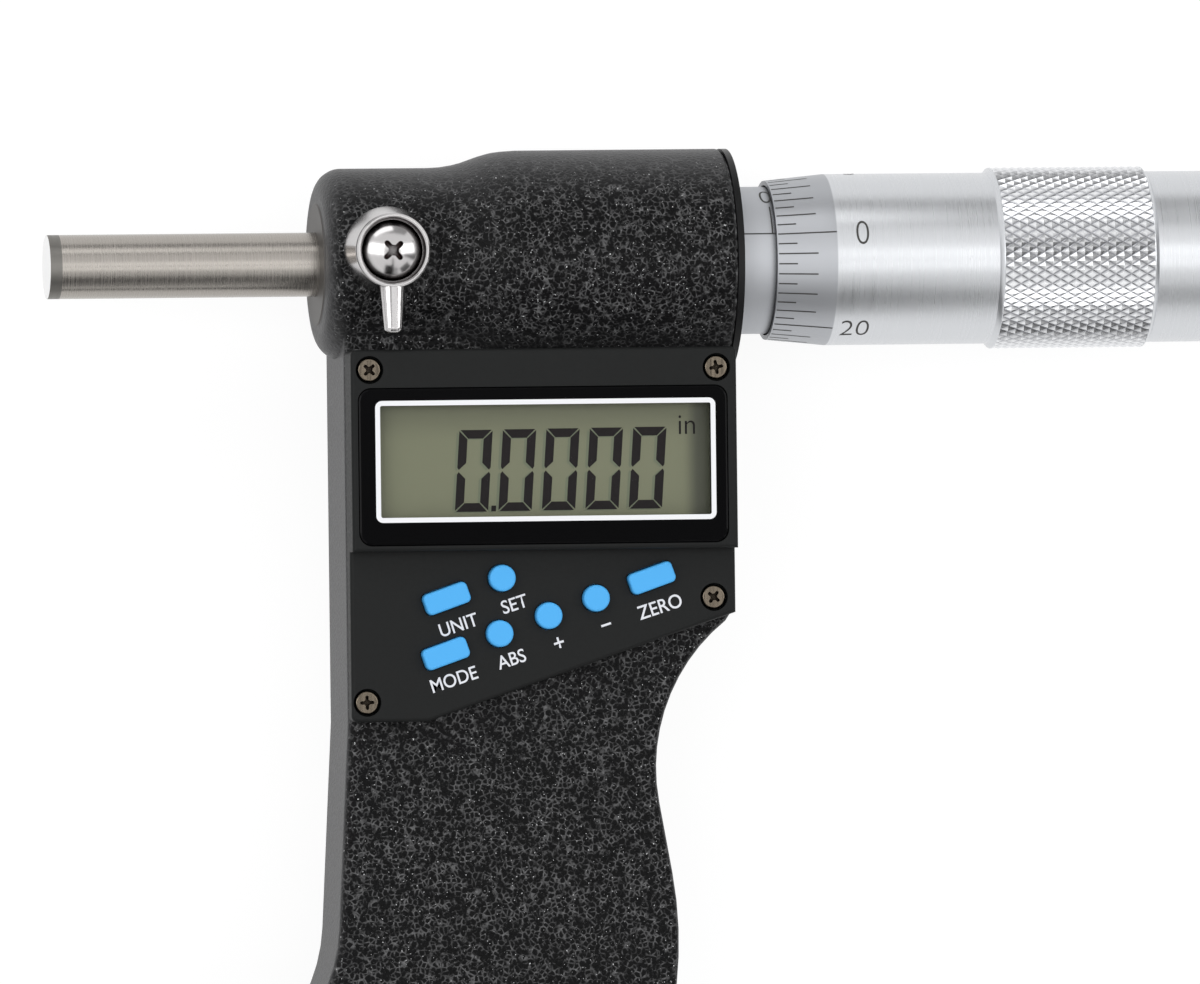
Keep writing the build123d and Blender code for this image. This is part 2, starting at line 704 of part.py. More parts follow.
# Front cover of the electronics: a moulded shell in two steps
with BuildPart() as front_cover:
    with BuildSketch(Plane.XY.offset(cover_base)):
        cover_polygon(cover_top)
    extrude(amount=keypad_face - cover_base)
    with BuildSketch(Plane.XY.offset(keypad_face)):
        with Locations(((slab_x + head_right) / 2, (cover_top + cover_step) / 2)):
            Rectangle(head_right - slab_x, cover_top - cover_step)
    extrude(amount=display_face - keypad_face)
    fillet(front_cover.edges().filter_by(Axis.Z).group_by(Axis.Y)[-1], cover_corner_radius)
    fillet(front_cover.edges().filter_by(Axis.Z).group_by(Axis.Y)[0], cover_corner_radius)
    fillet(front_cover.faces().sort_by(Axis.Z)[-1].edges(), cover_edge)
    keypad_edges = front_cover.faces().filter_by(Plane.XY).group_by(Axis.Z)[1].edges()
    fillet(keypad_edges.filter_by(lambda edge: edge.center().Y < cover_step - cover_edge), cover_edge)
    # room inside, with a boss left standing round each screw
    with BuildSketch(Plane.XY.offset(cover_base)):
        cover_polygon(cover_top)
        offset(amount=-side_wall, mode=Mode.REPLACE)
        with Locations(*cover_screw_places):
            Circle(cover_boss, mode=Mode.SUBTRACT)
    extrude(amount=keypad_face - keypad_wall - cover_base, mode=Mode.SUBTRACT)
    with BuildSketch(Plane.XY.offset(cover_base)):
        with Locations(((slab_x + head_right) / 2, (cover_top + cover_step) / 2)):
            Rectangle(head_right - slab_x - 2 * side_wall, cover_top - cover_step - 2 * side_wall)
        with Locations(*cover_screw_places[:2]):
            Circle(cover_boss, mode=Mode.SUBTRACT)
    extrude(amount=display_face - display_wall - cover_base, mode=Mode.SUBTRACT)
    # recess and opening for the window
    window_centre = ((window_left + window_right) / 2, (window_top + window_bottom) / 2)
    window_size = (window_right - window_left, window_top - window_bottom)
    with BuildSketch(Plane.XY.offset(display_face)):
        with Locations(window_centre):
            RectangleRounded(window_size[0] + 2 * seat_gap, window_size[1] + 2 * seat_gap,
                             window_corner + seat_gap)
    extrude(amount=-window_thick, mode=Mode.SUBTRACT)
    with BuildSketch(Plane.XY.offset(display_face)):
        with Locations(window_centre):
            Rectangle(window_size[0] - 2 * window_ledge, window_size[1] - 2 * window_ledge)
    extrude(amount=-display_wall, mode=Mode.SUBTRACT)
    # openings for the keys
    for name, kind, share, row in keys:
        with BuildSketch(Plane.XY.offset(keypad_face)):
            with Locations(key_place(share, row)):
                key_shape(kind, sliding_gap)
        extrude(amount=-keypad_wall, mode=Mode.SUBTRACT)
    # counterbored screw holes
    for place, top in zip(cover_screw_places, (display_face, display_face, keypad_face, keypad_face)):
        with Locations((*place, top)):
            CounterBoreHole(cover_screw_shank + seat_gap, cover_screw_recess, cover_screw_depth,
                            top - cover_base)
    barrel_shape(seat_gap, Mode.SUBTRACT)
save(front_cover, "front_cover")

with BuildPart() as cover_gasket:
    with BuildSketch(Plane.XY.offset(casting_half)):
        cover_polygon(cover_top)
        offset(amount=-gasket_inset, mode=Mode.REPLACE)
        with BuildSketch(mode=Mode.SUBTRACT):
            cover_polygon(cover_top)
            offset(amount=-gasket_inset - gasket_width, mode=Mode.REPLACE)
        with Locations(*cover_screw_places):
            Circle(cover_screw_shank + seat_gap, mode=Mode.SUBTRACT)
    extrude(amount=gasket_thick)
    barrel_shape(seat_gap, Mode.SUBTRACT)
save(cover_gasket, "cover_gasket")

with BuildPart() as display_window:
    with BuildSketch(Plane.XY.offset(display_face - window_thick)):
        with Locations(window_centre):
            RectangleRounded(window_size[0], window_size[1], window_corner)
    extrude(amount=window_thick)
    chamfer(display_window.faces().sort_by(Axis.Z)[-1].edges(), sliding_gap)
save(display_window, "display_window")

# Liquid crystal panel, clamped between the cover and two rubber contact strips
panel_low_y = cover_step + side_wall + panel_bottom_gap
panel_high_y = window_top - panel_bottom_gap
panel_left = slab_x + side_wall + panel_bottom_gap
panel_right = head_right - side_wall - panel_bottom_gap
with BuildPart() as lcd_glass:
    with BuildSketch(Plane.XY.offset(panel_bottom)):
        with Locations(((panel_left + panel_right) / 2, (panel_low_y + panel_high_y) / 2)):
            Rectangle(panel_right - panel_left, panel_high_y - panel_low_y)
    extrude(amount=panel_thick)
save(lcd_glass, "lcd_glass")

with BuildPart() as zebra_strips:
    strip_length = panel_right - panel_left - 2 * pocket_land - 2 * panel_inset
    with BuildSketch(Plane.XY.offset(board_top)):
        for strip_y in (panel_low_y + strip_inset + strip_width / 2, panel_high_y - strip_inset - strip_width):
            with Locations(((panel_left + panel_right) / 2, strip_y)):
                Rectangle(strip_length, strip_width)
        # the upper strip leaves room for the encoder's cable
        with Locations((flex_x, panel_high_y)):
            Rectangle(4 * flex_width, 6 * strip_width, mode=Mode.SUBTRACT)
    extrude(amount=panel_bottom - board_top)
save(zebra_strips, "zebra_strips")

# Circuit board in the pocket, with its chip, flex connector and key contacts
with BuildPart() as circuit_board:
    with BuildSketch(Plane.XY.offset(pocket_floor)):
        pocket_outline(sliding_gap)
    extrude(amount=board_thick)
save(circuit_board, "circuit_board")

with BuildPart() as driver_chip:
    with BuildSketch(Plane.XY.offset(board_top)):
        with Locations((head_middle, chip_y)):
            Rectangle(chip_size, chip_size)
    extrude(amount=chip_thick)
    chamfer(driver_chip.faces().sort_by(Axis.Z)[-1].edges(), sliding_gap)
save(driver_chip, "driver_chip")

with BuildPart() as flex_cable:
    with BuildSketch(Plane.XY.offset(board_top + sliding_gap)):
        with Locations((flex_x, flex_low_y / 2)):
            Rectangle(flex_thick, -flex_low_y)
    extrude(amount=flex_width)
    ring(cavity_x - stator_thick, stator_x + stator_thick, 0, cavity_radius - seat_gap + running_gap,
         Mode.SUBTRACT)
save(flex_cable, "flex_cable")

with BuildPart() as flex_connector:
    with BuildSketch(Plane.XY.offset(board_top)):
        with Locations((flex_x, flex_low_y)):
            Rectangle(2 * flex_width, flex_width)
            Rectangle(flex_thick + 2 * running_gap, flex_width, mode=Mode.SUBTRACT)
    extrude(amount=flex_width + 2 * sliding_gap)
    with BuildSketch(Plane.XY.offset(board_top)):
        with Locations((flex_x, flex_low_y)):
            Rectangle(2 * flex_width, flex_width)
    extrude(amount=sliding_gap)
save(flex_connector, "flex_connector")

with BuildPart() as switch_domes:
    for name, kind, share, row in keys:
        x, y = key_place(share, row)
        with Locations((x, y, board_top)):
            Cone(dome_radius, key_stem_radius, dome_height, align=(Align.CENTER, Align.CENTER, Align.MIN))
save(switch_domes, "switch_domes")

# Seven keys, each guided by its hole in the cover and held in by a flange
key_flange_top = keypad_face - keypad_wall - sliding_gap
for name, kind, share, row in keys:
    with BuildPart() as button:
        with BuildSketch(Plane.XY.offset(key_flange_top)):
            with Locations(key_place(share, row)):
                key_shape(kind, 0)
        extrude(amount=key_top - key_flange_top)
        fillet(button.faces().sort_by(Axis.Z)[-1].edges(), key_edge)
        with BuildSketch(Plane.XY.offset(key_flange_top)):
            with Locations(key_place(share, row)):
                key_shape(kind, key_flange)
        extrude(amount=-key_flange_thick)
        with BuildSketch(Plane.XY.offset(dome_top + key_travel + seat_gap)):
            with Locations(key_place(share, row)):
                Circle(key_stem_radius)
        extrude(amount=key_flange_top - key_flange_thick - dome_top - key_travel - seat_gap)
    save(button, name)

# Four cover screws with a cross recess
with BuildPart() as cover_screws:
    tops = (display_face, display_face, keypad_face, keypad_face)
    for place, top, angle in zip(cover_screw_places, tops, cover_screw_angles):
        seat = top - cover_screw_depth
        with BuildSketch(Plane.XY.offset(seat)):
            with Locations(place):
                Circle(cover_screw_head)
        extrude(amount=cover_screw_head_thick)
        fillet(cover_screws.edges(Select.LAST).group_by(Axis.Z)[-1], key_edge)
        with BuildSketch(Plane.XY.offset(seat)):
            with Locations(place):
                Circle(cover_screw_shank)
        extrude(amount=pocket_floor - seat)
        cross_recess(place, seat + cover_screw_head_thick, cross_width, cross_length, cross_depth, angle)
save(cover_screws, "cover_screws")

# Spindle lock: pad on the spindle, threaded stud, lever and its screw
with BuildPart() as lock_pad:
    with BuildSketch():
        with Locations((lock_x, lock_y)):
            Circle(pad_radius)
    extrude(amount=stud_bottom - seat_gap)
    ring(nose_x, lock_x + stud_radius, 0, spindle_radius + pad_gap, Mode.SUBTRACT)
save(lock_pad, "lock_pad")

with BuildPart() as lock_stud:
    with BuildSketch(Plane.XY.offset(stud_bottom)):
        with Locations((lock_x, lock_y)):
            Circle(stud_radius)
    extrude(amount=lock_seat_z - stud_bottom)
    with BuildSketch(Plane.XY.offset(lock_seat_z)):
        with Locations((lock_x, lock_y)):
            Circle(lock_screw_shank + running_gap)
    extrude(amount=-lock_screw_length - seat_gap, mode=Mode.SUBTRACT)
save(lock_stud, "lock_stud")

with BuildPart() as lock_lever:
    # turned knob: a tapered skirt, a fine groove and a raised rim
    rim_low_z = lock_top_z - lock_rim_height
    with BuildSketch(Plane.XZ.offset(-lock_y)):
        with BuildLine():
            Polyline((lock_x, lock_base_z), (lock_x + lock_base_radius - lock_edge, lock_base_z),
                     (lock_x + lock_base_radius, lock_base_z + lock_edge),
                     (lock_x + lock_top_radius, rim_low_z - lock_edge),
                     (lock_x + lock_top_radius - lock_edge, rim_low_z),
                     (lock_x + lock_top_radius, rim_low_z + lock_edge),
                     (lock_x + lock_top_radius, lock_top_z - lock_edge),
                     (lock_x + lock_top_radius - lock_edge, lock_top_z), (lock_x, lock_top_z), close=True)
        make_face()
    revolve(axis=Axis((lock_x, lock_y, 0), (0, 0, 1)))
    # finger that stands out level with the knob's top and thins towards its tip
    root_z = lock_top_z - finger_root_depth / 2 - seat_gap
    tip_z = lock_top_z - finger_tip_depth / 2 - seat_gap
    with BuildSketch(Plane((lock_x, lock_y - lock_recess_radius, root_z), x_dir=(1, 0, 0), z_dir=(0, -1, 0))):
        RectangleRounded(finger_root_width, finger_root_depth, finger_root_depth / 2 - seat_gap)
    with BuildSketch(Plane((lock_x, lock_y - finger_reach, tip_z), x_dir=(1, 0, 0), z_dir=(0, -1, 0))):
        RectangleRounded(finger_tip_width, finger_tip_depth, finger_tip_depth / 2 - seat_gap)
    loft()
    fillet(lock_lever.faces().sort_by(Axis.Y)[0].edges(), finger_tip_depth / 2 - 3 * seat_gap)
    with BuildSketch(Plane.XY.offset(lock_top_z)):
        with Locations((lock_x, lock_y)):
            Circle(lock_recess_radius)
    extrude(amount=-lock_recess_depth, mode=Mode.SUBTRACT)
    with BuildSketch(Plane.XY.offset(lock_seat_z)):
        with Locations((lock_x, lock_y)):
            Circle(stud_radius + press_gap)
    extrude(amount=lock_base_z - lock_seat_z, mode=Mode.SUBTRACT)
    rim = lock_lever.edges().filter_by(GeomType.CIRCLE).group_by(Axis.Z)[-1]
    chamfer(rim.sort_by(SortBy.RADIUS)[0], sliding_gap)
save(lock_lever, "lock_lever")

with BuildPart() as lock_screw:
    dome_sphere = (lock_screw_radius**2 + lock_screw_dome**2) / (2 * lock_screw_dome)
    with BuildSketch(Plane.XZ.offset(-lock_y)):
        with BuildLine():
            Line((lock_x, lock_seat_z - lock_screw_length), (lock_x, lock_seat_z + lock_screw_dome))
            RadiusArc((lock_x, lock_seat_z + lock_screw_dome), (lock_x + lock_screw_radius, lock_seat_z),
                      dome_sphere)
            Polyline((lock_x + lock_screw_radius, lock_seat_z), (lock_x + lock_screw_shank, lock_seat_z),
                     (lock_x + lock_screw_shank, lock_seat_z - lock_screw_length),
                     (lock_x, lock_seat_z - lock_screw_length))
        make_face()
    revolve(axis=Axis((lock_x, lock_y, 0), (0, 0, 1)))
    cross_recess((lock_x, lock_y), lock_seat_z + lock_screw_dome, lock_cross_width, lock_cross_length,
                 lock_cross_depth, lock_cross_angle)
save(lock_screw, "lock_screw")

# Battery compartment in the back: coin cell, contact, seal and a quarter-turn cap
with BuildPart() as battery:
    with BuildSketch(Plane.XY.offset(battery_low_z)):
        with Locations((head_middle, battery_y)):
            Circle(battery_radius)
    extrude(amount=battery_thick)
    fillet(battery.edges(), battery_edge)
save(battery, "battery")

with BuildPart() as battery_contact:
    with BuildSketch(Plane.XZ.offset(contact_width / 2 - battery_y)):
        with BuildLine():
            half = battery_radius - battery_edge
            Polyline((head_middle - half, battery_roof_z), (head_middle + half, battery_roof_z),
                     (head_middle + half, battery_roof_z - contact_thick),
                     (head_middle + half / 3, battery_roof_z - contact_thick),
                     (head_middle, battery_roof_z - contact_thick - contact_rise),
                     (head_middle - half / 3, battery_roof_z - contact_thick),
                     (head_middle - half, battery_roof_z - contact_thick), close=True)
        make_face()
    extrude(amount=-contact_width)
save(battery_contact, "battery_contact")

with BuildPart() as battery_cap:
    with BuildSketch(Plane.XY.offset(-casting_half)):
        with Locations((head_middle, battery_y)):
            Circle(cap_radius)
    extrude(amount=cap_thick)
    chamfer(battery_cap.faces().sort_by(Axis.Z)[0].edges(), cap_edge)
    # two bayonet lugs, cut from a wider disc
    with BuildSketch(Plane.XY.offset(cap_inner_z)):
        with Locations((head_middle, battery_y)):
            Circle(cap_radius + cap_lug_reach)
            Rectangle(2 * cap_radius + 4 * cap_lug_reach, 2 * cap_radius * sin(radians(cap_lug_angle / 2)),
                      mode=Mode.INTERSECT)
    extrude(amount=-cap_lug_thick)
    with BuildSketch(Plane.XY.offset(-casting_half)):
        with Locations((head_middle, battery_y)):
            SlotOverall(cap_slot_length, cap_slot_width)
    extrude(amount=cap_slot_depth, mode=Mode.SUBTRACT)
save(battery_cap, "battery_cap")

with BuildPart() as battery_seal:
    with Locations((head_middle, battery_y, cap_inner_z + seal_radius + running_gap)):
        Torus(battery_radius + seal_radius + seat_gap, seal_radius)
save(battery_seal, "battery_seal")

print("screw coupling, metres for each radian:", thread_pitch / 1000 / (2 * pi))
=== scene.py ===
import math

import bmesh
import bpy
from mathutils import Matrix, Vector


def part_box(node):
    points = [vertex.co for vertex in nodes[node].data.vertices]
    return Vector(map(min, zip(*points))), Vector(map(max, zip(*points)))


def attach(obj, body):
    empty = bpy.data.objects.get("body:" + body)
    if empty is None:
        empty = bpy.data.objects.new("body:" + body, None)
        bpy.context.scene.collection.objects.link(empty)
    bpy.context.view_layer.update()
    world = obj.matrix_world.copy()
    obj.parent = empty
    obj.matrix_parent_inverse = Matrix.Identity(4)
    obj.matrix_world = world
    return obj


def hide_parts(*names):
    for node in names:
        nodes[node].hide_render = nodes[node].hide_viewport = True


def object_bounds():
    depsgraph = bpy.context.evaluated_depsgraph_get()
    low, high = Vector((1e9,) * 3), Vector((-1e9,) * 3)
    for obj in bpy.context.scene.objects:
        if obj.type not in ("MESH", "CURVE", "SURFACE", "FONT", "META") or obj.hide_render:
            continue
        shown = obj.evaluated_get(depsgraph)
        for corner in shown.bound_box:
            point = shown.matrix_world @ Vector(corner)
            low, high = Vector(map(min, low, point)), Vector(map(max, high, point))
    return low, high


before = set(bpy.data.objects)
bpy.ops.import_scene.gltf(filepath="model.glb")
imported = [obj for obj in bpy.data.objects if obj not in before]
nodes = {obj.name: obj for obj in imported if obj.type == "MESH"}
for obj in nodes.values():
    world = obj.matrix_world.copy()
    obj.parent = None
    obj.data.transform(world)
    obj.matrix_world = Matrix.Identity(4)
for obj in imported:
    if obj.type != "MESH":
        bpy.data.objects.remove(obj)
cad_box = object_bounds()
scene = bpy.context.scene

# Millimetres of the part's source, in metres
MM = 0.001

# Places along the spindle axis, which is X
thimble_x = 200.75
cone_length = 6.1
rim_radius = 8.1
thimble_radius = 8.725
knurl_start = 223.6
knurl_end = 240.1
knurl_ring = 0.5
knurl_radius = 9.25
knurl_root = 9.0
sleeve_radius = 7.5
sleeve_mark_x = 200.42
screw_pitch = 0.635

# Angles of the reading lines, from straight up towards +Y
datum_angle = math.radians(20.3)
zero_angle = math.radians(18.2)

# Height by which paint and print stand clear of the surface that carries them
print_lift = 0.012


# Helpers

def linear(code):
    """An sRGB hex colour as linear red, green, blue and alpha."""
    parts = [int(code[place:place + 2], 16) / 255 for place in (0, 2, 4)]
    return [p / 12.92 if p <= 0.04045 else ((p + 0.055) / 1.055) ** 2.4 for p in parts] + [1.0]


def add(tree, kind, inputs=None, **settings):
    """Adds a node with its settings. An input is a value, or the node or socket that feeds it."""
    made = tree.nodes.new(kind)
    for name, value in settings.items():
        setattr(made, name, value)
    for key, value in (inputs or {}).items():
        if isinstance(value, bpy.types.Node):
            value = value.outputs[0]
        if isinstance(value, bpy.types.NodeSocket):
            tree.links.new(value, made.inputs[key])
        else:
            made.inputs[key].default_value = value
    return made


def calc(tree, operation, *values):
    """A maths node on values, each a number or the node or socket that feeds it."""
    return add(tree, "ShaderNodeMath", dict(enumerate(values)), operation=operation)


def ramp(tree, value, low, high, first=0.0, last=1.0, kind="LINEAR"):
    """The socket of a value that runs from first to last while another runs from low to high."""
    limits = {"Value": value, "From Min": low, "From Max": high, "To Min": first, "To Max": last}
    return add(tree, "ShaderNodeMapRange", limits, interpolation_type=kind).outputs["Result"]


def blend(tree, share, first, last):
    """The socket of a colour between two, each a hex code, a list of values or a socket."""
    first, last = (linear(colour) if isinstance(colour, str) else colour for colour in (first, last))
    return add(tree, "ShaderNodeMix", {0: share, 6: first, 7: last}, data_type="RGBA").outputs[2]


def finish(name, colour, metallic=0.0, roughness=0.5, **sockets):
    """A material with its principled shader set, and its tree and shader to build on."""
    made = bpy.data.materials.new(name)
    made.use_nodes = True
    shader = made.node_tree.nodes["Principled BSDF"]
    shader.inputs["Base Color"].default_value = linear(colour)
    shader.inputs["Metallic"].default_value = metallic
    shader.inputs["Roughness"].default_value = roughness
    for socket, value in sockets.items():
        shader.inputs[socket.replace("_", " ")].default_value = value
    made.diffuse_color = linear(colour)
    return made, made.node_tree, shader


def shape_tree(name, inputs):
    """An empty geometry tree with named inputs, and the sockets that give their values."""
    tree = bpy.data.node_groups.new(name, "GeometryNodeTree")
    tree.interface.new_socket("Shape", in_out="OUTPUT", socket_type="NodeSocketGeometry")
    for label, kind in inputs.items():
        tree.interface.new_socket(label, in_out="INPUT", socket_type="NodeSocket" + kind)
    return tree, tree.nodes.new("NodeGroupInput").outputs


def wrapped(tree, shape, x, radius, turn):
    """Sets each point of a shape at x along the axis and a turn about it, from straight up towards +Y."""
    y = calc(tree, "MULTIPLY", radius, calc(tree, "SINE", turn))
    z = calc(tree, "MULTIPLY", radius, calc(tree, "COSINE", turn))
    spot = add(tree, "ShaderNodeCombineXYZ", {0: x, 1: y, 2: z})
    return add(tree, "GeometryNodeSetPosition", {"Geometry": shape, "Position": spot})


def painted(tree, shape, material):
    """Ends a geometry tree with the shape in its material."""
    coated = add(tree, "GeometryNodeSetMaterial", {"Geometry": shape, "Material": material})
    add(tree, "NodeGroupOutput", {0: coated})


def grown(name, tree, values):
    """Runs a geometry tree once with these input values, and keeps the result as a plain mesh."""
    piece = bpy.data.objects.new(name, bpy.data.meshes.new(name))
    scene.collection.objects.link(piece)
    shape = piece.modifiers.new("shape", "NODES")
    shape.node_group = tree
    for socket in tree.interface.items_tree:
        if socket.in_out == "INPUT":
            shape[socket.identifier] = values[socket.name]
    settled = piece.evaluated_get(bpy.context.evaluated_depsgraph_get())
    mesh = bpy.data.meshes.new_from_object(settled)
    piece.modifiers.remove(shape)
    piece.data = mesh
    mesh.name = name
    return piece


def flat_sheet(width, height):
    """A flat rectangle about the origin, as a bmesh."""
    flat = bmesh.new()
    bmesh.ops.create_grid(flat, x_segments=1, y_segments=1, size=0.5)
    bmesh.ops.scale(flat, vec=(width, height, 1), verts=flat.verts)
    return flat


def kept(flat, name):
    """A bmesh as a mesh of this name."""
    mesh = bpy.data.meshes.new(name)
    flat.to_mesh(mesh)
    flat.free()
    return mesh


def placed(name, mesh, material, body):
    """A plain mesh as a piece with one material, on its body."""
    piece = bpy.data.objects.new(name, mesh)
    scene.collection.objects.link(piece)
    mesh.materials.clear()
    mesh.materials.append(material)
    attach(piece, body)
    return piece


def letters(words, height, narrow, thin):
    """Flat centred lettering as a bmesh in millimetres, with capitals of the given height.

    Narrow scales its width, and thin is taken off each side of its strokes.
    """
    capital_share = 0.729
    curve = bpy.data.curves.new("letters", "FONT")
    curve.body = words
    curve.size = height / capital_share
    curve.offset = -thin
    curve.resolution_u = 6
    curve.align_x = "CENTER"
    drawn = bpy.data.objects.new("letters", curve)
    scene.collection.objects.link(drawn)
    mesh = bpy.data.meshes.new_from_object(drawn.evaluated_get(bpy.context.evaluated_depsgraph_get()))
    bpy.data.objects.remove(drawn)
    flat = bmesh.new()
    flat.from_mesh(mesh)
    bpy.data.meshes.remove(mesh)
    bmesh.ops.translate(flat, vec=(0, -height / 2, 0), verts=flat.verts)
    bmesh.ops.scale(flat, vec=(narrow, 1, 1), verts=flat.verts)
    return flat


def poured(flat, mesh):
    """Adds a bmesh to a mesh that may already hold others."""
    both = bmesh.new()
    both.from_mesh(mesh)
    spare = bpy.data.meshes.new("spare")
    flat.to_mesh(spare)
    both.from_mesh(spare)
    both.to_mesh(mesh)
    bpy.data.meshes.remove(spare)
    both.free()
    flat.free()


def rolled(flat, x, angle, radius):
    """Wraps a flat shape, its top towards +Y, on a cylinder about the X axis, in metres."""
    tops = [v.co.y for v in flat.verts]
    step = 0.25
    level = min(tops) + step
    while level < max(tops):
        bmesh.ops.bisect_plane(flat, geom=flat.verts[:] + flat.edges[:] + flat.faces[:],
                               plane_co=(0, level, 0), plane_no=(0, 1, 0))
        level += step
    for v in flat.verts:
        turn = angle + v.co.y / radius
        v.co = Vector((x + v.co.x, radius * math.sin(turn), radius * math.cos(turn))) * MM


# Materials

def ground(name, colour, roughness, mark, depth, streak=0.12):
    """Metal turned or ground on the X axis, with fine marks that run round it.

    Mark is their pitch and depth their depth, in millimetres, and streak how far the colour strays.
    """
    made, tree, shader = finish(name, colour, metallic=1.0, roughness=roughness)
    coords = add(tree, "ShaderNodeTexCoord")
    lines = add(tree, "ShaderNodeMapping", {"Vector": coords.outputs["Object"],
                                            "Scale": (1 / (mark * MM), 30.0, 30.0)})
    grain = add(tree, "ShaderNodeTexNoise", {"Vector": lines, "Scale": 1.0, "Detail": 3.0, "Roughness": 0.6})
    dark = [c * (1 - streak) for c in linear(colour)[:3]] + [1.0]
    pale = [min(1.0, c * (1 + streak)) for c in linear(colour)[:3]] + [1.0]
    tint = blend(tree, grain, dark, pale)
    tree.links.new(tint, shader.inputs["Base Color"])
    rough = ramp(tree, grain, 0.3, 0.7, roughness - 0.06, roughness + 0.08)
    tree.links.new(rough, shader.inputs["Roughness"])
    bump = add(tree, "ShaderNodeBump", {"Strength": 1.0, "Distance": depth * MM, "Height": grain})
    tree.links.new(bump.outputs["Normal"], shader.inputs["Normal"])
    return made


def moulded(name, colour, roughness, grain, depth, gloss=0.5):
    """Moulded plastic with a spark-eroded skin, its grain in millimetres."""
    made, tree, shader = finish(name, colour, roughness=roughness, Specular_IOR_Level=gloss)
    coords = add(tree, "ShaderNodeTexCoord")
    skin = add(tree, "ShaderNodeTexNoise", {"Vector": coords.outputs["Object"], "Scale": 1 / (grain * MM),
                                            "Detail": 3.0, "Roughness": 0.6})
    rough = ramp(tree, skin, 0.3, 0.7, roughness - 0.05, roughness + 0.08)
    tree.links.new(rough, shader.inputs["Roughness"])
    bump = add(tree, "ShaderNodeBump", {"Strength": 1.0, "Distance": depth * MM, "Height": skin})
    tree.links.new(bump.outputs["Normal"], shader.inputs["Normal"])
    return made


# Hammertone enamel on cast iron: near-black drops half a millimetre across, with a broken net of grey
# pigment between them and a few bright specks painted as glints. The faces that turn away from straight up,
# the sides of the casting among them, are painted an even grey as sheen, and the edge at the barrel's end is
# pale in places.
barrel_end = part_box("end_ring")[0].x
enamel, tree, shader = finish("hammertone_enamel", "0b0b0c", roughness=0.4, Specular_IOR_Level=0.1)
coords = add(tree, "ShaderNodeTexCoord")
wander = add(tree, "ShaderNodeTexNoise", {"Vector": coords.outputs["Object"], "Scale": 1100.0, "Detail": 3.0})
shift = add(tree, "ShaderNodeVectorMath", {0: wander.outputs["Color"], 1: (0.0004, 0.0004, 0.0004)},
            operation="MULTIPLY")
moved = add(tree, "ShaderNodeVectorMath", {0: coords.outputs["Object"], 1: shift}, operation="ADD")
cells = add(tree, "ShaderNodeTexVoronoi", {"Vector": moved, "Scale": 1900.0}, feature="DISTANCE_TO_EDGE")
web = ramp(tree, cells.outputs["Distance"], 0.0, 0.2, 1.0, 0.0, kind="SMOOTHSTEP")
patches = add(tree, "ShaderNodeTexNoise", {"Vector": coords.outputs["Object"], "Scale": 1300.0, "Detail": 4.0,
                                           "Roughness": 0.65})
shown = ramp(tree, patches, 0.42, 0.8)
seen = calc(tree, "MULTIPLY", web, shown)
netted = blend(tree, seen, "060607", "7e7e7f")
# Painted glints: a few bright specks on the enamel
glint_noise = add(tree, "ShaderNodeTexNoise", {"Vector": coords.outputs["Object"], "Scale": 4200.0, "Detail": 1.0})
glint_speck = ramp(tree, glint_noise, 0.72, 0.78)
front = blend(tree, glint_speck, netted, "d2d3d4")
# Painted sheen: faces that turn away from straight up go an even grey, without the net
facing = add(tree, "ShaderNodeSeparateXYZ", {0: coords.outputs["Normal"]})
turned_up = calc(tree, "ABSOLUTE", facing.outputs["Z"])
side = ramp(tree, turned_up, 0.1, 0.95, 1.0, 0.0, kind="SMOOTHSTEP")
skin = blend(tree, side, front, "515152")
where = add(tree, "ShaderNodeSeparateXYZ", {0: coords.outputs["Object"]})
# A pale line in places along the edge at the barrel's end
pale_edge = ramp(tree, where.outputs["X"], barrel_end - 0.3 * MM, barrel_end - 0.12 * MM)
pale_edge = calc(tree, "MULTIPLY", pale_edge, shown)
skin = blend(tree, pale_edge, skin, "c9cacb")
tree.links.new(skin, shader.inputs["Base Color"])
drops = ramp(tree, cells.outputs["Distance"], 0.0, 0.35, kind="SMOOTHERSTEP")
level = calc(tree, "ADD", drops, patches)
bump = add(tree, "ShaderNodeBump", {"Strength": 0.7, "Distance": 0.04 * MM, "Height": level})
tree.links.new(bump.outputs["Normal"], shader.inputs["Normal"])

# Hardened steel, ground round: grey-brown, with close marks round it
steel = ground("ground_tool_steel", "a8a39d", roughness=0.25, mark=0.16, depth=0.004, streak=0.24)
# Tungsten carbide: darker than the steel and dull round its edge, and lapped bright on the measuring face
carbide = ground("tungsten_carbide", "7c7a76", roughness=0.4, mark=0.2, depth=0.001, streak=0.05)
tree = carbide.node_tree
shader = tree.nodes["Principled BSDF"]
facing = add(tree, "ShaderNodeSeparateXYZ", {0: add(tree, "ShaderNodeTexCoord").outputs["Normal"]})
ended = calc(tree, "ABSOLUTE", facing.outputs["X"])
lapped = ramp(tree, ended, 0.9, 0.97)
tint = blend(tree, lapped, shader.inputs["Base Color"].links[0].from_socket, "f4f4f4")
tree.links.new(tint, shader.inputs["Base Color"])
# Turned steel of the parts inside
turned_steel = ground("turned_steel", "a7a6a2", roughness=0.3, mark=0.2, depth=0.003)
# Satin chrome plate over fine turning: pale, a soft gloss across the axis
satin = ground("satin_chrome_plate", "d2d4d7", roughness=0.3, mark=0.09, depth=0.0012, streak=0.03)
# Matt chrome plate behind the reading lines, duller so that they stand out
matt = ground("matt_chrome_plate", "c2c4c8", roughness=0.56, mark=0.09, depth=0.0016, streak=0.05)
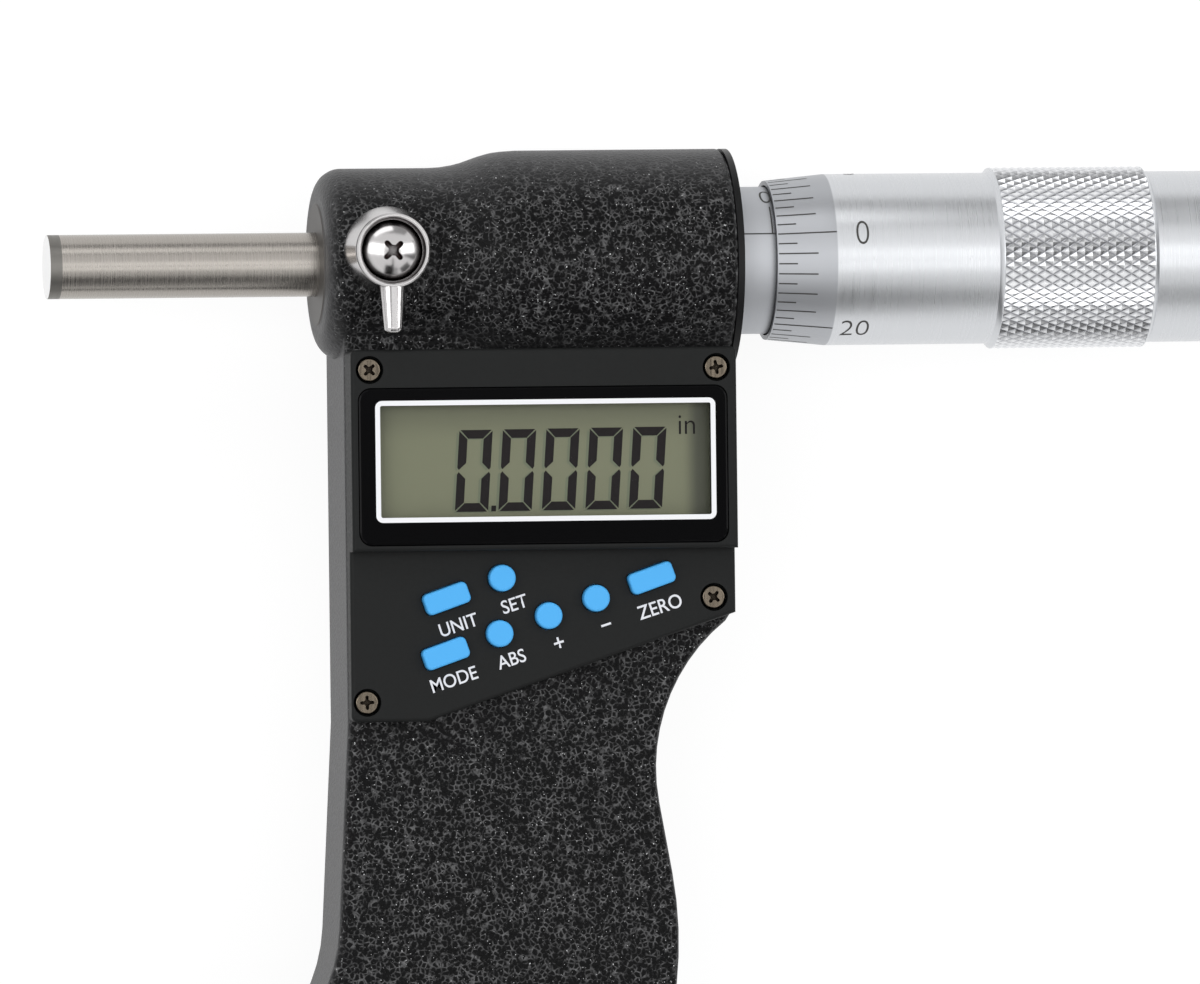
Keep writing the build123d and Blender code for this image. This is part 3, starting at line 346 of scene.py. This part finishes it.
# Knurled steel with bright chrome: the tips of the diamonds glint, and the valleys are darker, with painted
# shade and dull residue in them
knurled, tree, shader = finish("chrome_on_knurl", "e9eaec", metallic=1.0, roughness=0.2)
coords = add(tree, "ShaderNodeTexCoord")
off_axis = add(tree, "ShaderNodeVectorMath", {0: coords.outputs["Object"], 1: (0.0, 1.0, 1.0)},
               operation="MULTIPLY")
reach = add(tree, "ShaderNodeVectorMath", {0: off_axis}, operation="LENGTH")
# Painted shade and residue: the colour darkens towards the root of the knurl
tip = ramp(tree, reach.outputs["Value"], knurl_root * MM, (knurl_root + 0.14) * MM)
tint = blend(tree, tip, "a9aaae", "e9eaec")
tree.links.new(tint, shader.inputs["Base Color"])
# Polished chrome plate on the clamp
polished = finish("polished_chrome_plate", "c4c2c2", metallic=1.0, roughness=0.17)[0]
# Darkened nickel plate on the cross-head screws
nickel = ground("nickel_plate", "6f665a", roughness=0.16, mark=0.3, depth=0.002, streak=0.25)
# Phosphated steel of the guide bush: a dull dark grey
phosphated = ground("phosphated_steel", "5d5b59", roughness=0.5, mark=0.25, depth=0.002, streak=0.1)
# Bright spring steel
spring_steel = ground("spring_steel", "b3b1ab", roughness=0.25, mark=0.3, depth=0.001)
# Turned brass
brass = ground("turned_brass", "b99850", roughness=0.3, mark=0.15, depth=0.002)
# Nickel-plated can of the cell
cell_can = ground("cell_can", "c4c3c0", roughness=0.25, mark=0.5, depth=0.001)
# Black acetal ring: a low waxy gloss
acetal = finish("black_acetal", "111112", roughness=0.35, Specular_IOR_Level=0.2)[0]
# Nitrile rubber: dark and dull
rubber = finish("nitrile_rubber", "1b1b1c", roughness=0.75)[0]
# Moulding compound of a chip
compound = finish("chip_compound", "1d1d1e", roughness=0.55)[0]
# Polyimide film
film = finish("polyimide_film", "a9651c", roughness=0.3)[0]
# Paint run into engraved lines
line_paint = finish("line_paint", "3a3937", roughness=0.6)[0]
# White screen print
print_white = finish("screen_print_white", "e9ebf1", roughness=0.55)[0]
# Printed black on the back of acrylic: a deep gloss
acrylic_black = finish("acrylic_printed_black", "0d0d0e", roughness=0.07, Specular_IOR_Level=0.06)[0]
# White printed on the back of acrylic
acrylic_white = finish("acrylic_printed_white", "f7f8fb", roughness=0.12)[0]
# Clear acrylic over the display
acrylic_clear = finish("acrylic_clear", "000000", roughness=0.05, Alpha=0.02)[0]
acrylic_clear.surface_render_method = "BLENDED"
# Switched liquid crystal: a flat near-black
crystal = finish("liquid_crystal_dark", "1e1a1b", roughness=0.5, Specular_IOR_Level=0.15)[0]
# Painted shadow of the figures on the panel, a little below and to the left of them
figure_shadow_paint = finish("liquid_crystal_shadow", "68705a", roughness=0.5)[0]

# Shade in the cross recesses of the screws, and on the sleeve beside the thimble's rim: the material, the
# colour of its shade and how far the shade reaches, in millimetres
for material, shaded, reach in ((nickel, "120e0b", 1.2), (polished, "1f1817", 1.1), (matt, "3c3d40", 0.8)):
    tree = material.node_tree
    shader = tree.nodes["Principled BSDF"]
    colour_in = shader.inputs["Base Color"]
    plain = colour_in.links[0].from_socket if colour_in.links else list(colour_in.default_value)
    depth = add(tree, "ShaderNodeAmbientOcclusion", {"Distance": reach * MM}, samples=8)
    open_part = ramp(tree, depth.outputs["AO"], 0.45, 0.92)
    tint = blend(tree, open_part, shaded, plain)
    tree.links.new(tint, colour_in)

# The thimble's cone is matt behind its lines, and its body brighter
thimble_chrome = ground("satin_chrome_on_thimble", "d2d4d7",
                        roughness=0.3, mark=0.09, depth=0.0012, streak=0.03)
tree = thimble_chrome.node_tree
shader = tree.nodes["Principled BSDF"]
coords = add(tree, "ShaderNodeTexCoord")
where = add(tree, "ShaderNodeSeparateXYZ", {0: coords.outputs["Object"]})
cone_roughness = 0.42
cone_end = thimble_x + cone_length
past_cone = ramp(tree, where.outputs["X"], (cone_end - 0.05) * MM, (cone_end + 0.05) * MM)
colour_in, rough_in = shader.inputs["Base Color"], shader.inputs["Roughness"]
tint = blend(tree, past_cone, "b3b5b9", colour_in.links[0].from_socket)
tree.links.new(tint, colour_in)
rough = add(tree, "ShaderNodeMix", {0: past_cone, 2: cone_roughness, 3: rough_in.links[0].from_socket})
tree.links.new(rough.outputs[0], rough_in)

# Black ABS of the electronics housing, and blue ABS of the keys
housing = moulded("moulded_abs_black", "1d1e1e", roughness=0.5, grain=0.35, depth=0.008, gloss=0.13)
key_blue = moulded("moulded_abs_blue", "51b4f7", roughness=0.42, grain=0.5, depth=0.004, gloss=0.3)
# Glass-epoxy laminate under green solder mask
laminate = moulded("glass_epoxy_laminate", "1d5a36", roughness=0.35, grain=0.6, depth=0.003)

# Liquid crystal panel: olive grey reflector, with painted shadow of the window's edge making it a little
# darker at its top and right edges
panel, tree, shader = finish("liquid_crystal_panel", "7d8168", roughness=0.45)
coords = add(tree, "ShaderNodeTexCoord")
where = add(tree, "ShaderNodeSeparateXYZ", {0: coords.outputs["Object"]})
right_shade, top_shade = 0.75, 0.3
right_low, right_high = 0.1904, 0.1922
top_low, top_high = -0.0180, -0.0140
right = ramp(tree, where.outputs["X"], right_low, right_high, 0.0, right_shade, kind="SMOOTHSTEP")
top = ramp(tree, where.outputs["Y"], top_low, top_high, 0.0, top_shade)
darker = calc(tree, "MAXIMUM", right, top)
shade = blend(tree, darker, "767960", "2f3229")
tree.links.new(shade, shader.inputs["Base Color"])

node_finishes = {
    enamel: ["frame"],
    steel: ["anvil", "spindle"],
    phosphated: ["nose_bush"],
    carbide: ["anvil_tip", "spindle_tip"],
    turned_steel: ["inner_barrel", "adjusting_nut", "rotor_key", "ratchet_screw", "lock_stud"],
    satin: ["thimble", "ratchet_base", "ratchet_cap"],
    matt: ["sleeve"],
    polished: ["lock_lever", "lock_screw"],
    nickel: ["cover_screws"],
    spring_steel: ["rotor_spring", "ratchet_spring", "switch_domes", "battery_contact"],
    brass: ["rotor_bush", "lock_pad"],
    cell_can: ["battery"],
    acetal: ["end_ring"],
    rubber: ["cover_gasket", "zebra_strips", "battery_seal"],
    compound: ["driver_chip", "flex_connector"],
    film: ["flex_cable"],
    acrylic_black: ["display_window"],
    housing: ["front_cover", "battery_cap"],
    key_blue: [name for name in nodes if name.endswith("_button")],
    laminate: ["circuit_board", "encoder_stator", "encoder_rotor"],
    panel: ["lcd_glass"],
}
for material, names in node_finishes.items():
    for name in names:
        for slot in nodes[name].material_slots:
            slot.material = material


# Thimble

# The thimble's own turned shape, with the knurled band cut down to the body that carries the knurl
turned = nodes["thimble"].data.copy()
turned.name = "thimble_body"
shell = bmesh.new()
shell.from_mesh(turned)
bmesh.ops.remove_doubles(shell, verts=shell.verts, dist=1e-7)
for v in shell.verts:
    reach = math.hypot(v.co.y, v.co.z)
    if reach > (thimble_radius + 0.05) * MM:
        v.co.y *= thimble_radius * MM / reach
        v.co.z *= thimble_radius * MM / reach
shell.to_mesh(turned)
shell.free()
for layer in [a for a in turned.attributes if a.name == "custom_normal"]:
    turned.attributes.remove(layer)
turned.set_sharp_from_angle(angle=math.radians(30))
thimble_body = placed("thimble_body", turned, thimble_chrome, "spindle")
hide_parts("thimble")

# A plain ring with a chamfer at each end of the knurl
rings = bmesh.new()
for end, inwards in ((knurl_start, 1), (knurl_end, -1)):
    profile = [(0, thimble_radius - 0.03), (0, thimble_radius), (knurl_ring - 0.12, knurl_radius - 0.06),
               (knurl_ring - 0.06, knurl_radius - 0.03), (knurl_ring, knurl_radius - 0.06),
               (knurl_ring + 0.05, knurl_root - 0.03)]
    corners = [rings.verts.new(Vector((end + inwards * x, 0, radius)) * MM) for x, radius in profile]
    edges = [rings.edges.new(pair) for pair in zip(corners, corners[1:])]
    bmesh.ops.spin(rings, geom=corners + edges, axis=(1, 0, 0), cent=(0, 0, 0), angle=2 * math.pi, steps=180,
                   use_merge=True)
bmesh.ops.recalc_face_normals(rings, faces=rings.faces)
mesh = kept(rings, "knurl_rings")
mesh.shade_smooth()
mesh.set_sharp_from_angle(angle=math.radians(30))
placed("knurl_rings", mesh, satin, "spindle")

# Diamond knurl: a lattice of steps along and round the axis, with a diamond on every second one
tree, given = shape_tree("diamond_knurl", {
    "Start": "Float", "Length": "Float", "Root": "Float", "Depth": "Float",
    "Columns": "Int", "Around": "Int", "Flat": "Float", "Finish": "Material"})
index = add(tree, "GeometryNodeInputIndex")
step = calc(tree, "MODULO", index, given["Around"])
ratio = calc(tree, "DIVIDE", index, given["Around"])
column = calc(tree, "FLOOR", ratio)
both = calc(tree, "ADD", column, step)
odd = calc(tree, "MODULO", both, 2.0)
rows = calc(tree, "ADD", given["Columns"], 1.0)
count = calc(tree, "MULTIPLY", rows, given["Around"])
lattice = add(tree, "ShaderNodeCombineXYZ", {0: column, 1: step})
points = add(tree, "GeometryNodePoints", {"Count": count, "Position": lattice})
diamond = add(tree, "GeometryNodeMeshCone", {"Vertices": 4, "Radius Top": given["Flat"], "Radius Bottom": 1.0,
                                             "Depth": 1.0})
facing = add(tree, "ShaderNodeSeparateXYZ", {0: add(tree, "GeometryNodeInputNormal")})
under = calc(tree, "LESS_THAN", facing.outputs["Z"], -0.5)
open_diamond = add(tree, "GeometryNodeDeleteGeometry", {"Geometry": diamond, "Selection": under},
                   domain="FACE")
copies = add(tree, "GeometryNodeInstanceOnPoints", {"Points": points, "Selection": odd,
                                                    "Instance": open_diamond})
real = add(tree, "GeometryNodeRealizeInstances", {0: copies})
spot = add(tree, "ShaderNodeSeparateXYZ", {0: add(tree, "GeometryNodeInputPosition")})
along = add(tree, "ShaderNodeClamp", {"Value": spot.outputs["X"], "Min": 0.0, "Max": given["Columns"]})
radius = calc(tree, "MULTIPLY_ADD", spot.outputs["Z"], given["Depth"], given["Root"])
pace = calc(tree, "DIVIDE", given["Length"], given["Columns"])
x_place = calc(tree, "MULTIPLY_ADD", along, pace, given["Start"])
part_turn = calc(tree, "DIVIDE", 2 * math.pi, given["Around"])
turn = calc(tree, "MULTIPLY", spot.outputs["Y"], part_turn)
rolled_up = wrapped(tree, real, x_place, radius, turn)
joined = add(tree, "GeometryNodeMergeByDistance", {"Geometry": rolled_up, "Distance": 2e-6})
painted(tree, joined, given["Finish"])
knurl = grown("thimble_knurl", tree, {
    "Start": (knurl_start + knurl_ring) * MM, "Length": (knurl_end - knurl_start - 2 * knurl_ring) * MM,
    "Root": knurl_root * MM, "Depth": (knurl_radius - knurl_root) * MM, "Columns": 19, "Around": 120,
    "Flat": 0.05, "Finish": knurled})
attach(knurl, "spindle")

# Lines round the thimble's cone: two to each division, longer at each number
tree, given = shape_tree("dial_lines", {
    "Count": "Int", "Start": "Float", "Radius": "Float", "Slope": "Float", "Width": "Float",
    "Short": "Float", "Medium": "Float", "Long": "Float", "Zero": "Float", "Finish": "Material"})
index = add(tree, "GeometryNodeInputIndex")
odd = calc(tree, "MODULO", index, 2.0)
even = calc(tree, "SUBTRACT", 1.0, odd)
tens = calc(tree, "MODULO", index, 10.0)
tenth = calc(tree, "LESS_THAN", tens, 0.5)
more = calc(tree, "SUBTRACT", given["Medium"], given["Short"])
most = calc(tree, "SUBTRACT", given["Long"], given["Medium"])
length = calc(tree, "MULTIPLY_ADD", even, more, given["Short"])
length = calc(tree, "MULTIPLY_ADD", tenth, most, length)
part_turn = calc(tree, "DIVIDE", 2 * math.pi, given["Count"])
angle = calc(tree, "MULTIPLY_ADD", index, part_turn, given["Zero"])
points = add(tree, "GeometryNodePoints", {"Count": given["Count"],
                                          "Position": add(tree, "ShaderNodeCombineXYZ", {1: angle})})
strip = add(tree, "GeometryNodeMeshGrid", {"Size X": 1.0, "Size Y": 1.0, "Vertices X": 2, "Vertices Y": 2})
ahead = add(tree, "GeometryNodeTransform", {"Geometry": strip, "Translation": (0.5, 0.0, 0.0)})
spread = calc(tree, "DIVIDE", given["Width"], given["Radius"])
size = add(tree, "ShaderNodeCombineXYZ", {0: length, 1: spread, 2: 1.0})
copies = add(tree, "GeometryNodeInstanceOnPoints", {"Points": points, "Instance": ahead, "Scale": size})
real = add(tree, "GeometryNodeRealizeInstances", {0: copies})
spot = add(tree, "ShaderNodeSeparateXYZ", {0: add(tree, "GeometryNodeInputPosition")})
radius = calc(tree, "MULTIPLY_ADD", spot.outputs["X"], given["Slope"], given["Radius"])
x_place = calc(tree, "ADD", spot.outputs["X"], given["Start"])
painted(tree, wrapped(tree, real, x_place, radius, spot.outputs["Y"]), given["Finish"])
# The lines start just behind the rim, where the cone is a little wider
line_setback, line_rise = 0.12, 0.012
dial = grown("thimble_lines", tree, {
    "Count": 50, "Start": (thimble_x + line_setback) * MM,
    "Radius": (rim_radius + line_rise + print_lift) * MM,
    "Slope": (thimble_radius - rim_radius) / cone_length, "Width": 0.14 * MM, "Short": 1.9 * MM,
    "Medium": 4.0 * MM, "Long": 5.95 * MM, "Zero": zero_angle, "Finish": line_paint})
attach(dial, "spindle")

# Numbers of the thimble, the ones of two figures a little nearer to the cone
number_x, number_shift, number_turn = 209.48, 0.37, math.radians(72)
numbers = bpy.data.meshes.new("thimble_numbers")
for place, words in enumerate(("0", "5", "10", "15", "20")):
    drawn = letters(words, 2.72, narrow=0.86, thin=0.055)
    rolled(drawn, number_x - number_shift * (len(words) - 1), zero_angle + place * number_turn,
           thimble_radius + print_lift)
    poured(drawn, numbers)
placed("thimble_numbers", numbers, line_paint, "spindle")


# Sleeve

# Lines of the sleeve: one for each turn of the screw, longer at each number, up from the datum line
tree, given = shape_tree("sleeve_lines", {
    "Count": "Int", "Start": "Float", "Pitch": "Float", "Radius": "Float", "Width": "Float",
    "Short": "Float", "Long": "Float", "Zero": "Float", "Finish": "Material"})
index = add(tree, "GeometryNodeInputIndex")
fours = calc(tree, "MODULO", index, 4.0)
fourth = calc(tree, "LESS_THAN", fours, 0.5)
more = calc(tree, "SUBTRACT", given["Long"], given["Short"])
length = calc(tree, "MULTIPLY_ADD", fourth, more, given["Short"])
sweep = calc(tree, "DIVIDE", length, given["Radius"])
x_place = calc(tree, "MULTIPLY_ADD", index, given["Pitch"], given["Start"])
lattice = add(tree, "ShaderNodeCombineXYZ", {0: x_place, 1: given["Zero"]})
points = add(tree, "GeometryNodePoints", {"Count": given["Count"], "Position": lattice})
strip = add(tree, "GeometryNodeMeshGrid", {"Size X": 1.0, "Size Y": 1.0, "Vertices X": 2, "Vertices Y": 9})
ahead = add(tree, "GeometryNodeTransform", {"Geometry": strip, "Translation": (0.0, 0.5, 0.0)})
size = add(tree, "ShaderNodeCombineXYZ", {0: given["Width"], 1: sweep, 2: 1.0})
copies = add(tree, "GeometryNodeInstanceOnPoints", {"Points": points, "Instance": ahead, "Scale": size})
real = add(tree, "GeometryNodeRealizeInstances", {0: copies})
spot = add(tree, "ShaderNodeSeparateXYZ", {0: add(tree, "GeometryNodeInputPosition")})
painted(tree, wrapped(tree, real, spot.outputs["X"], given["Radius"], spot.outputs["Y"]), given["Finish"])
sleeve_line_width = 0.13
ticks = grown("sleeve_lines", tree, {
    "Count": 41, "Start": sleeve_mark_x * MM, "Pitch": screw_pitch * MM,
    "Radius": (sleeve_radius + print_lift) * MM, "Width": sleeve_line_width * MM, "Short": 1.5 * MM,
    "Long": 3.3 * MM, "Zero": datum_angle, "Finish": line_paint})
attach(ticks, "frame")

# Numbers of the sleeve at every fourth line, and the datum line along it
mark_angle, mark_shift = math.radians(59.5), 0.2
datum_start, datum_end = 196.95, 226.5
marks = bpy.data.meshes.new("sleeve_numbers")
for place in range(11):
    drawn = letters(str(place % 10), 2.5, narrow=0.85, thin=0.055)
    rolled(drawn, sleeve_mark_x - mark_shift + place * 4 * screw_pitch, mark_angle,
           sleeve_radius + print_lift)
    poured(drawn, marks)
datum = flat_sheet(datum_end - datum_start, sleeve_line_width)
rolled(datum, (datum_end + datum_start) / 2, datum_angle, sleeve_radius + print_lift)
poured(datum, marks)
placed("sleeve_numbers", marks, line_paint, "frame")


# Display

def rounded(low, high, corner):
    """Corners of a rounded rectangle, anticlockwise, in millimetres."""
    steps = 6
    outline = []
    corners = (high[0], high[1]), (low[0], high[1]), (low[0], low[1]), (high[0], low[1])
    for place, (x, y) in enumerate(corners):
        cx = x - math.copysign(corner, x - (low[0] + high[0]) / 2)
        cy = y - math.copysign(corner, y - (low[1] + high[1]) / 2)
        for step in range(steps + 1):
            turn = math.radians(90) * (place + step / steps)
            outline.append((cx + corner * math.cos(turn), cy + corner * math.sin(turn)))
    return outline


def banded(outlines, closed_ends=False):
    """A mesh that joins rounded outlines of (low, high, corner, z) one to the next, in metres."""
    skin = bmesh.new()
    rings = []
    for low, high, corner, z in outlines:
        rings.append([skin.verts.new(Vector((x, y, z)) * MM) for x, y in rounded(low, high, corner)])
    for first, second in zip(rings, rings[1:]):
        for place in range(len(first)):
            after = (place + 1) % len(first)
            skin.faces.new((first[place], first[after], second[after], second[place]))
    if closed_ends:
        skin.faces.new(rings[-1])
        skin.faces.new(rings[0][::-1])
    bmesh.ops.recalc_face_normals(skin, faces=skin.faces)
    return skin


window_low, window_high = (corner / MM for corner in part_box("display_window"))
line_low, line_high = Vector((158.82, -26.28)), Vector((193.67, -13.97))
line_width = 0.5
inner_low = line_low + Vector((line_width, line_width))
inner_high = line_high - Vector((line_width, line_width))
edge = 0.22
outer_corner, edge_corner, face_corner, opening_corner = 1.3, 1.25, 1.1, 0.15
low, high = window_low.xy, window_high.xy
inset = Vector((edge, edge))
border = banded([
    (low, high, outer_corner, window_low.z),
    (low, high, outer_corner, window_high.z - edge),
    (low + inset * 0.3, high - inset * 0.3, edge_corner, window_high.z - edge * 0.3),
    (low + inset, high - inset, face_corner, window_high.z),
    (inner_low, inner_high, opening_corner, window_high.z),
    (inner_low, inner_high, opening_corner, window_low.z),
    (low, high, outer_corner, window_low.z)])
window_border = placed("window_border", kept(border, "window_border"), acrylic_black, "frame")
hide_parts("display_window")

line_corner, line_inner_corner = 0.7, 0.2
line = banded([
    (line_low, line_high, line_corner, window_high.z + print_lift),
    (inner_low, inner_high, line_inner_corner, window_high.z + print_lift)])
placed("window_line", kept(line, "window_line"), acrylic_white, "frame")

lens_drop, lens_depth = 0.02, 0.3
lens = banded([
    (inner_low, inner_high, opening_corner, window_high.z - lens_depth),
    (inner_low, inner_high, opening_corner, window_high.z - lens_drop)], closed_ends=True)
placed("window_lens", kept(lens, "window_lens"), acrylic_clear, "frame")

# Segments of one figure 0, in millimetres from its lower left corner
figure_width, figure_height, bar, slit = 3.41, 8.27, 0.88, 0.07
middle = figure_height / 2
upright = [(0, middle + 0.35), (0.16, middle + 0.1), (bar, middle + 0.8), (bar, figure_height - bar - slit),
           (0, figure_height - slit * 1.6)]
cap = [(slit * 1.6, figure_height), (bar + slit, figure_height - bar),
       (figure_width - bar - slit, figure_height - bar), (figure_width - slit * 1.6, figure_height)]
segments = [upright, cap]
segments.append([(figure_width - x, y) for x, y in upright])
segments += [[(x, figure_height - y) for x, y in outline] for outline in list(segments)]
point = [(3.72, 0.02), (4.2, 0.02), (4.2, 0.6), (3.72, 0.6)]
# Lean of the figures, and the row they stand in, which rises a little
slant = 0.069
first_figure, figure_step = 167.1, 4.457
figure_base, figure_rise = -25.26, 0.03
panel_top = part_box("lcd_glass")[1].z / MM


def shown_figures(name, material, shift, z):
    """The reading's figures and their point as flat faces on the display panel."""
    face = bmesh.new()
    outlines = [(place, outline) for place in range(5) for outline in segments]
    outlines.append((0, point))
    for place, outline in outlines:
        corners = []
        for x, y in outline:
            corners.append(face.verts.new(Vector((
                first_figure + place * figure_step + x + slant * y + shift[0],
                figure_base + y + shift[1] + place * figure_rise, z)) * MM))
        face.faces.new(corners)
    bmesh.ops.recalc_face_normals(face, faces=face.faces)
    for side in face.faces:
        if side.normal.z < 0:
            side.normal_flip()
    placed(name, kept(face, name), material, "frame")


shown_figures("display_figures", crystal, (0, 0), panel_top + 2 * print_lift)
shown_figures("display_shadow", figure_shadow_paint, (-0.28, -0.1), panel_top + print_lift)

unit = bpy.data.meshes.new("display_unit")
unit_x, unit_y = 191.0, -16.55
drawn = letters("in", 2.2, narrow=0.95, thin=0.02)
for v in drawn.verts:
    v.co = Vector((unit_x + v.co.x, unit_y + v.co.y, panel_top + 2 * print_lift)) * MM
poured(drawn, unit)
placed("display_unit", unit, crystal, "frame")


# Key names

# The words, their middle and the height of their capitals
key_words = (("UNIT", 167.35, -36.64, 1.4), ("MODE", 166.82, -42.14, 1.4), ("SET", 173.11, -34.59, 1.4),
             ("ABS", 172.78, -40.15, 1.4), ("ZERO", 188.08, -35.03, 1.45), ("+", 177.65, -38.58, 1.7),
             ("−", 182.52, -36.83, 1.7))
key_face = 8.7
turn = Matrix.Rotation(math.radians(17.5), 3, "Z")
names = bpy.data.meshes.new("key_names")
for words, x, y, height in key_words:
    drawn = letters(words, height, narrow=0.92, thin=-0.015)
    for v in drawn.verts:
        v.co = (turn @ v.co + Vector((x, y, key_face + print_lift))) * MM
    poured(drawn, names)
placed("key_names", names, print_white, "frame")


# Studio

def direct_rays(tree):
    """1 for rays that show the background itself, seen, mirrored or through a clear piece, or else 0."""
    path = add(tree, "ShaderNodeLightPath")
    direct = calc(tree, "MAXIMUM", path.outputs["Is Camera Ray"], path.outputs["Is Glossy Ray"])
    return calc(tree, "MAXIMUM", direct, path.outputs["Is Transmission Ray"])


def stood(name, flat, material):
    """A bmesh as an object of the studio, in one material."""
    mesh = kept(flat, name)
    mesh.materials.append(material)
    made = bpy.data.objects.new(name, mesh)
    scene.collection.objects.link(made)
    return made


sheet, tree, shader = finish("white_paper", "e8e8e8", roughness=0.9)
glow = add(tree, "ShaderNodeEmission", {"Color": linear("ffffff"), "Strength": 0.9})
soft = add(tree, "ShaderNodeBsdfDiffuse", {"Color": (0.15, 0.15, 0.15, 1.0)})
lit = add(tree, "ShaderNodeAddShader", {0: glow, 1: soft})
mixed = add(tree, "ShaderNodeMixShader", {0: direct_rays(tree), 1: shader, 2: lit})
tree.links.new(mixed.outputs[0], tree.nodes["Material Output"].inputs["Surface"])
floor_side, floor_x = 8.0, 0.15
paper = flat_sheet(floor_side, floor_side)
bmesh.ops.translate(paper, vec=(floor_x, 0, cad_box[0].z), verts=paper.verts)
stood("floor", paper, sheet)

world = bpy.data.worlds.new("studio")
scene.world = world
world.use_nodes = True
tree = world.node_tree
back = tree.nodes["Background"]
light_strength, seen_strength = 0.6, 1.0
grey = add(tree, "ShaderNodeMix", {0: direct_rays(tree), 2: light_strength, 3: seen_strength})
back.inputs["Color"].default_value = (1.0, 1.0, 1.0, 1.0)
tree.links.new(grey.outputs[0], back.inputs["Strength"])


def softbox(name, place, aim, width, depth, power):
    """A rectangular studio light, aimed at a point."""
    lamp = bpy.data.lights.new(name, "AREA")
    lamp.shape = "RECTANGLE"
    lamp.size = width
    lamp.size_y = depth
    lamp.energy = power
    stand = bpy.data.objects.new(name, lamp)
    scene.collection.objects.link(stand)
    stand.location = place
    stand.rotation_mode = "QUATERNION"
    stand.rotation_quaternion = (Vector(aim) - Vector(place)).to_track_quat("-Z", "Y")


def studio_card(name, centre, facing, width, height, colour):
    """A card beside the object that only reflections show."""
    material = finish(name, colour, roughness=0.9, Specular_IOR_Level=0.0)[0]
    card = stood(name, flat_sheet(width, height), material)
    card.rotation_mode = "QUATERNION"
    card.rotation_quaternion = Vector(facing).to_track_quat("Z", "Y")
    card.location = centre
    card.visible_camera = False
    card.visible_diffuse = False
    card.visible_shadow = False


softbox("top_light", place=(0.53, 0.0, 1.6), aim=(0.53, 0.0, 0.0), width=0.6, depth=0.75, power=1.35)
softbox("left_light", place=(-0.5, 0.1, 0.95), aim=(0.2, 0.0, 0.0), width=0.5, depth=0.8, power=3.0)
softbox("right_light", place=(1.1, 0.1, 0.9), aim=(0.2, 0.0, 0.0), width=0.5, depth=0.8, power=3.0)
softbox("back_light", place=(-0.1, 0.9, 0.6), aim=(0.18, 0.0, 0.0), width=0.9, depth=0.4, power=2.0)
# Name, centre, facing, width, height and colour of each card
for card in (
        ("dark_ceiling", (0.42, -0.025, 1.5), (0.0, 0.0, -1.0), 1.2, 0.08, "202020"),
        ("cone_card", (0.1, -0.98, 0.67), (0.0, 0.82, -0.57), 0.34, 0.85, "0c0c0c"),
        ("thimble_card", (0.42, -0.98, 0.67), (0.0, 0.82, -0.57), 0.3, 0.56, "cfcfcf"),
        ("corner_card", (0.93, -0.82, 0.6), (-0.6, 0.66, -0.45), 0.5, 0.55, "6c6c6c"),
        ("spindle_card", (0.31, -0.9, 0.75), (0.0, 0.77, -0.64), 0.08, 1.35, "0c0b0a"),
        ("right_card", (1.6, 0.0, 0.55), (-1.0, 0.0, 0.0), 1.1, 3.0, "8c8c8c"),
        ("grey_card", (0.3, 1.6, 0.9), (0.0, -1.0, 0.0), 3.0, 1.6, "d0d0d0")):
    studio_card(*card)

# Camera: 1.8 m above the display, 9.5 degrees to the left of square, as the photograph is taken
target = Vector((0.18351657526, -0.02341344563, 0.0))
side_turn, roll = math.radians(9.5), math.radians(0.68)
distance = 1.8
pixels_per_mm = 9.83
photo_width = 1200
sensor_width = 36.0
to_camera = Vector((-math.sin(side_turn), 0, math.cos(side_turn)))
across = Vector((math.cos(side_turn), 0, math.sin(side_turn)))
upward = Vector((0, 1, 0))
right_side = across * math.cos(roll) - upward * math.sin(roll)
top_side = across * math.sin(roll) + upward * math.cos(roll)
lens_data = bpy.data.cameras.new("camera")
lens_data.sensor_width = sensor_width
lens_data.lens = pixels_per_mm * distance * 1000 * sensor_width / photo_width
lens_data.clip_end = 20.0
camera = bpy.data.objects.new("camera", lens_data)
scene.collection.objects.link(camera)
camera.matrix_world = Matrix.LocRotScale(
    target + to_camera * distance, Matrix((right_side, top_side, to_camera)).transposed(), None)
scene.camera = camera

scene.view_settings.view_transform = "Standard"
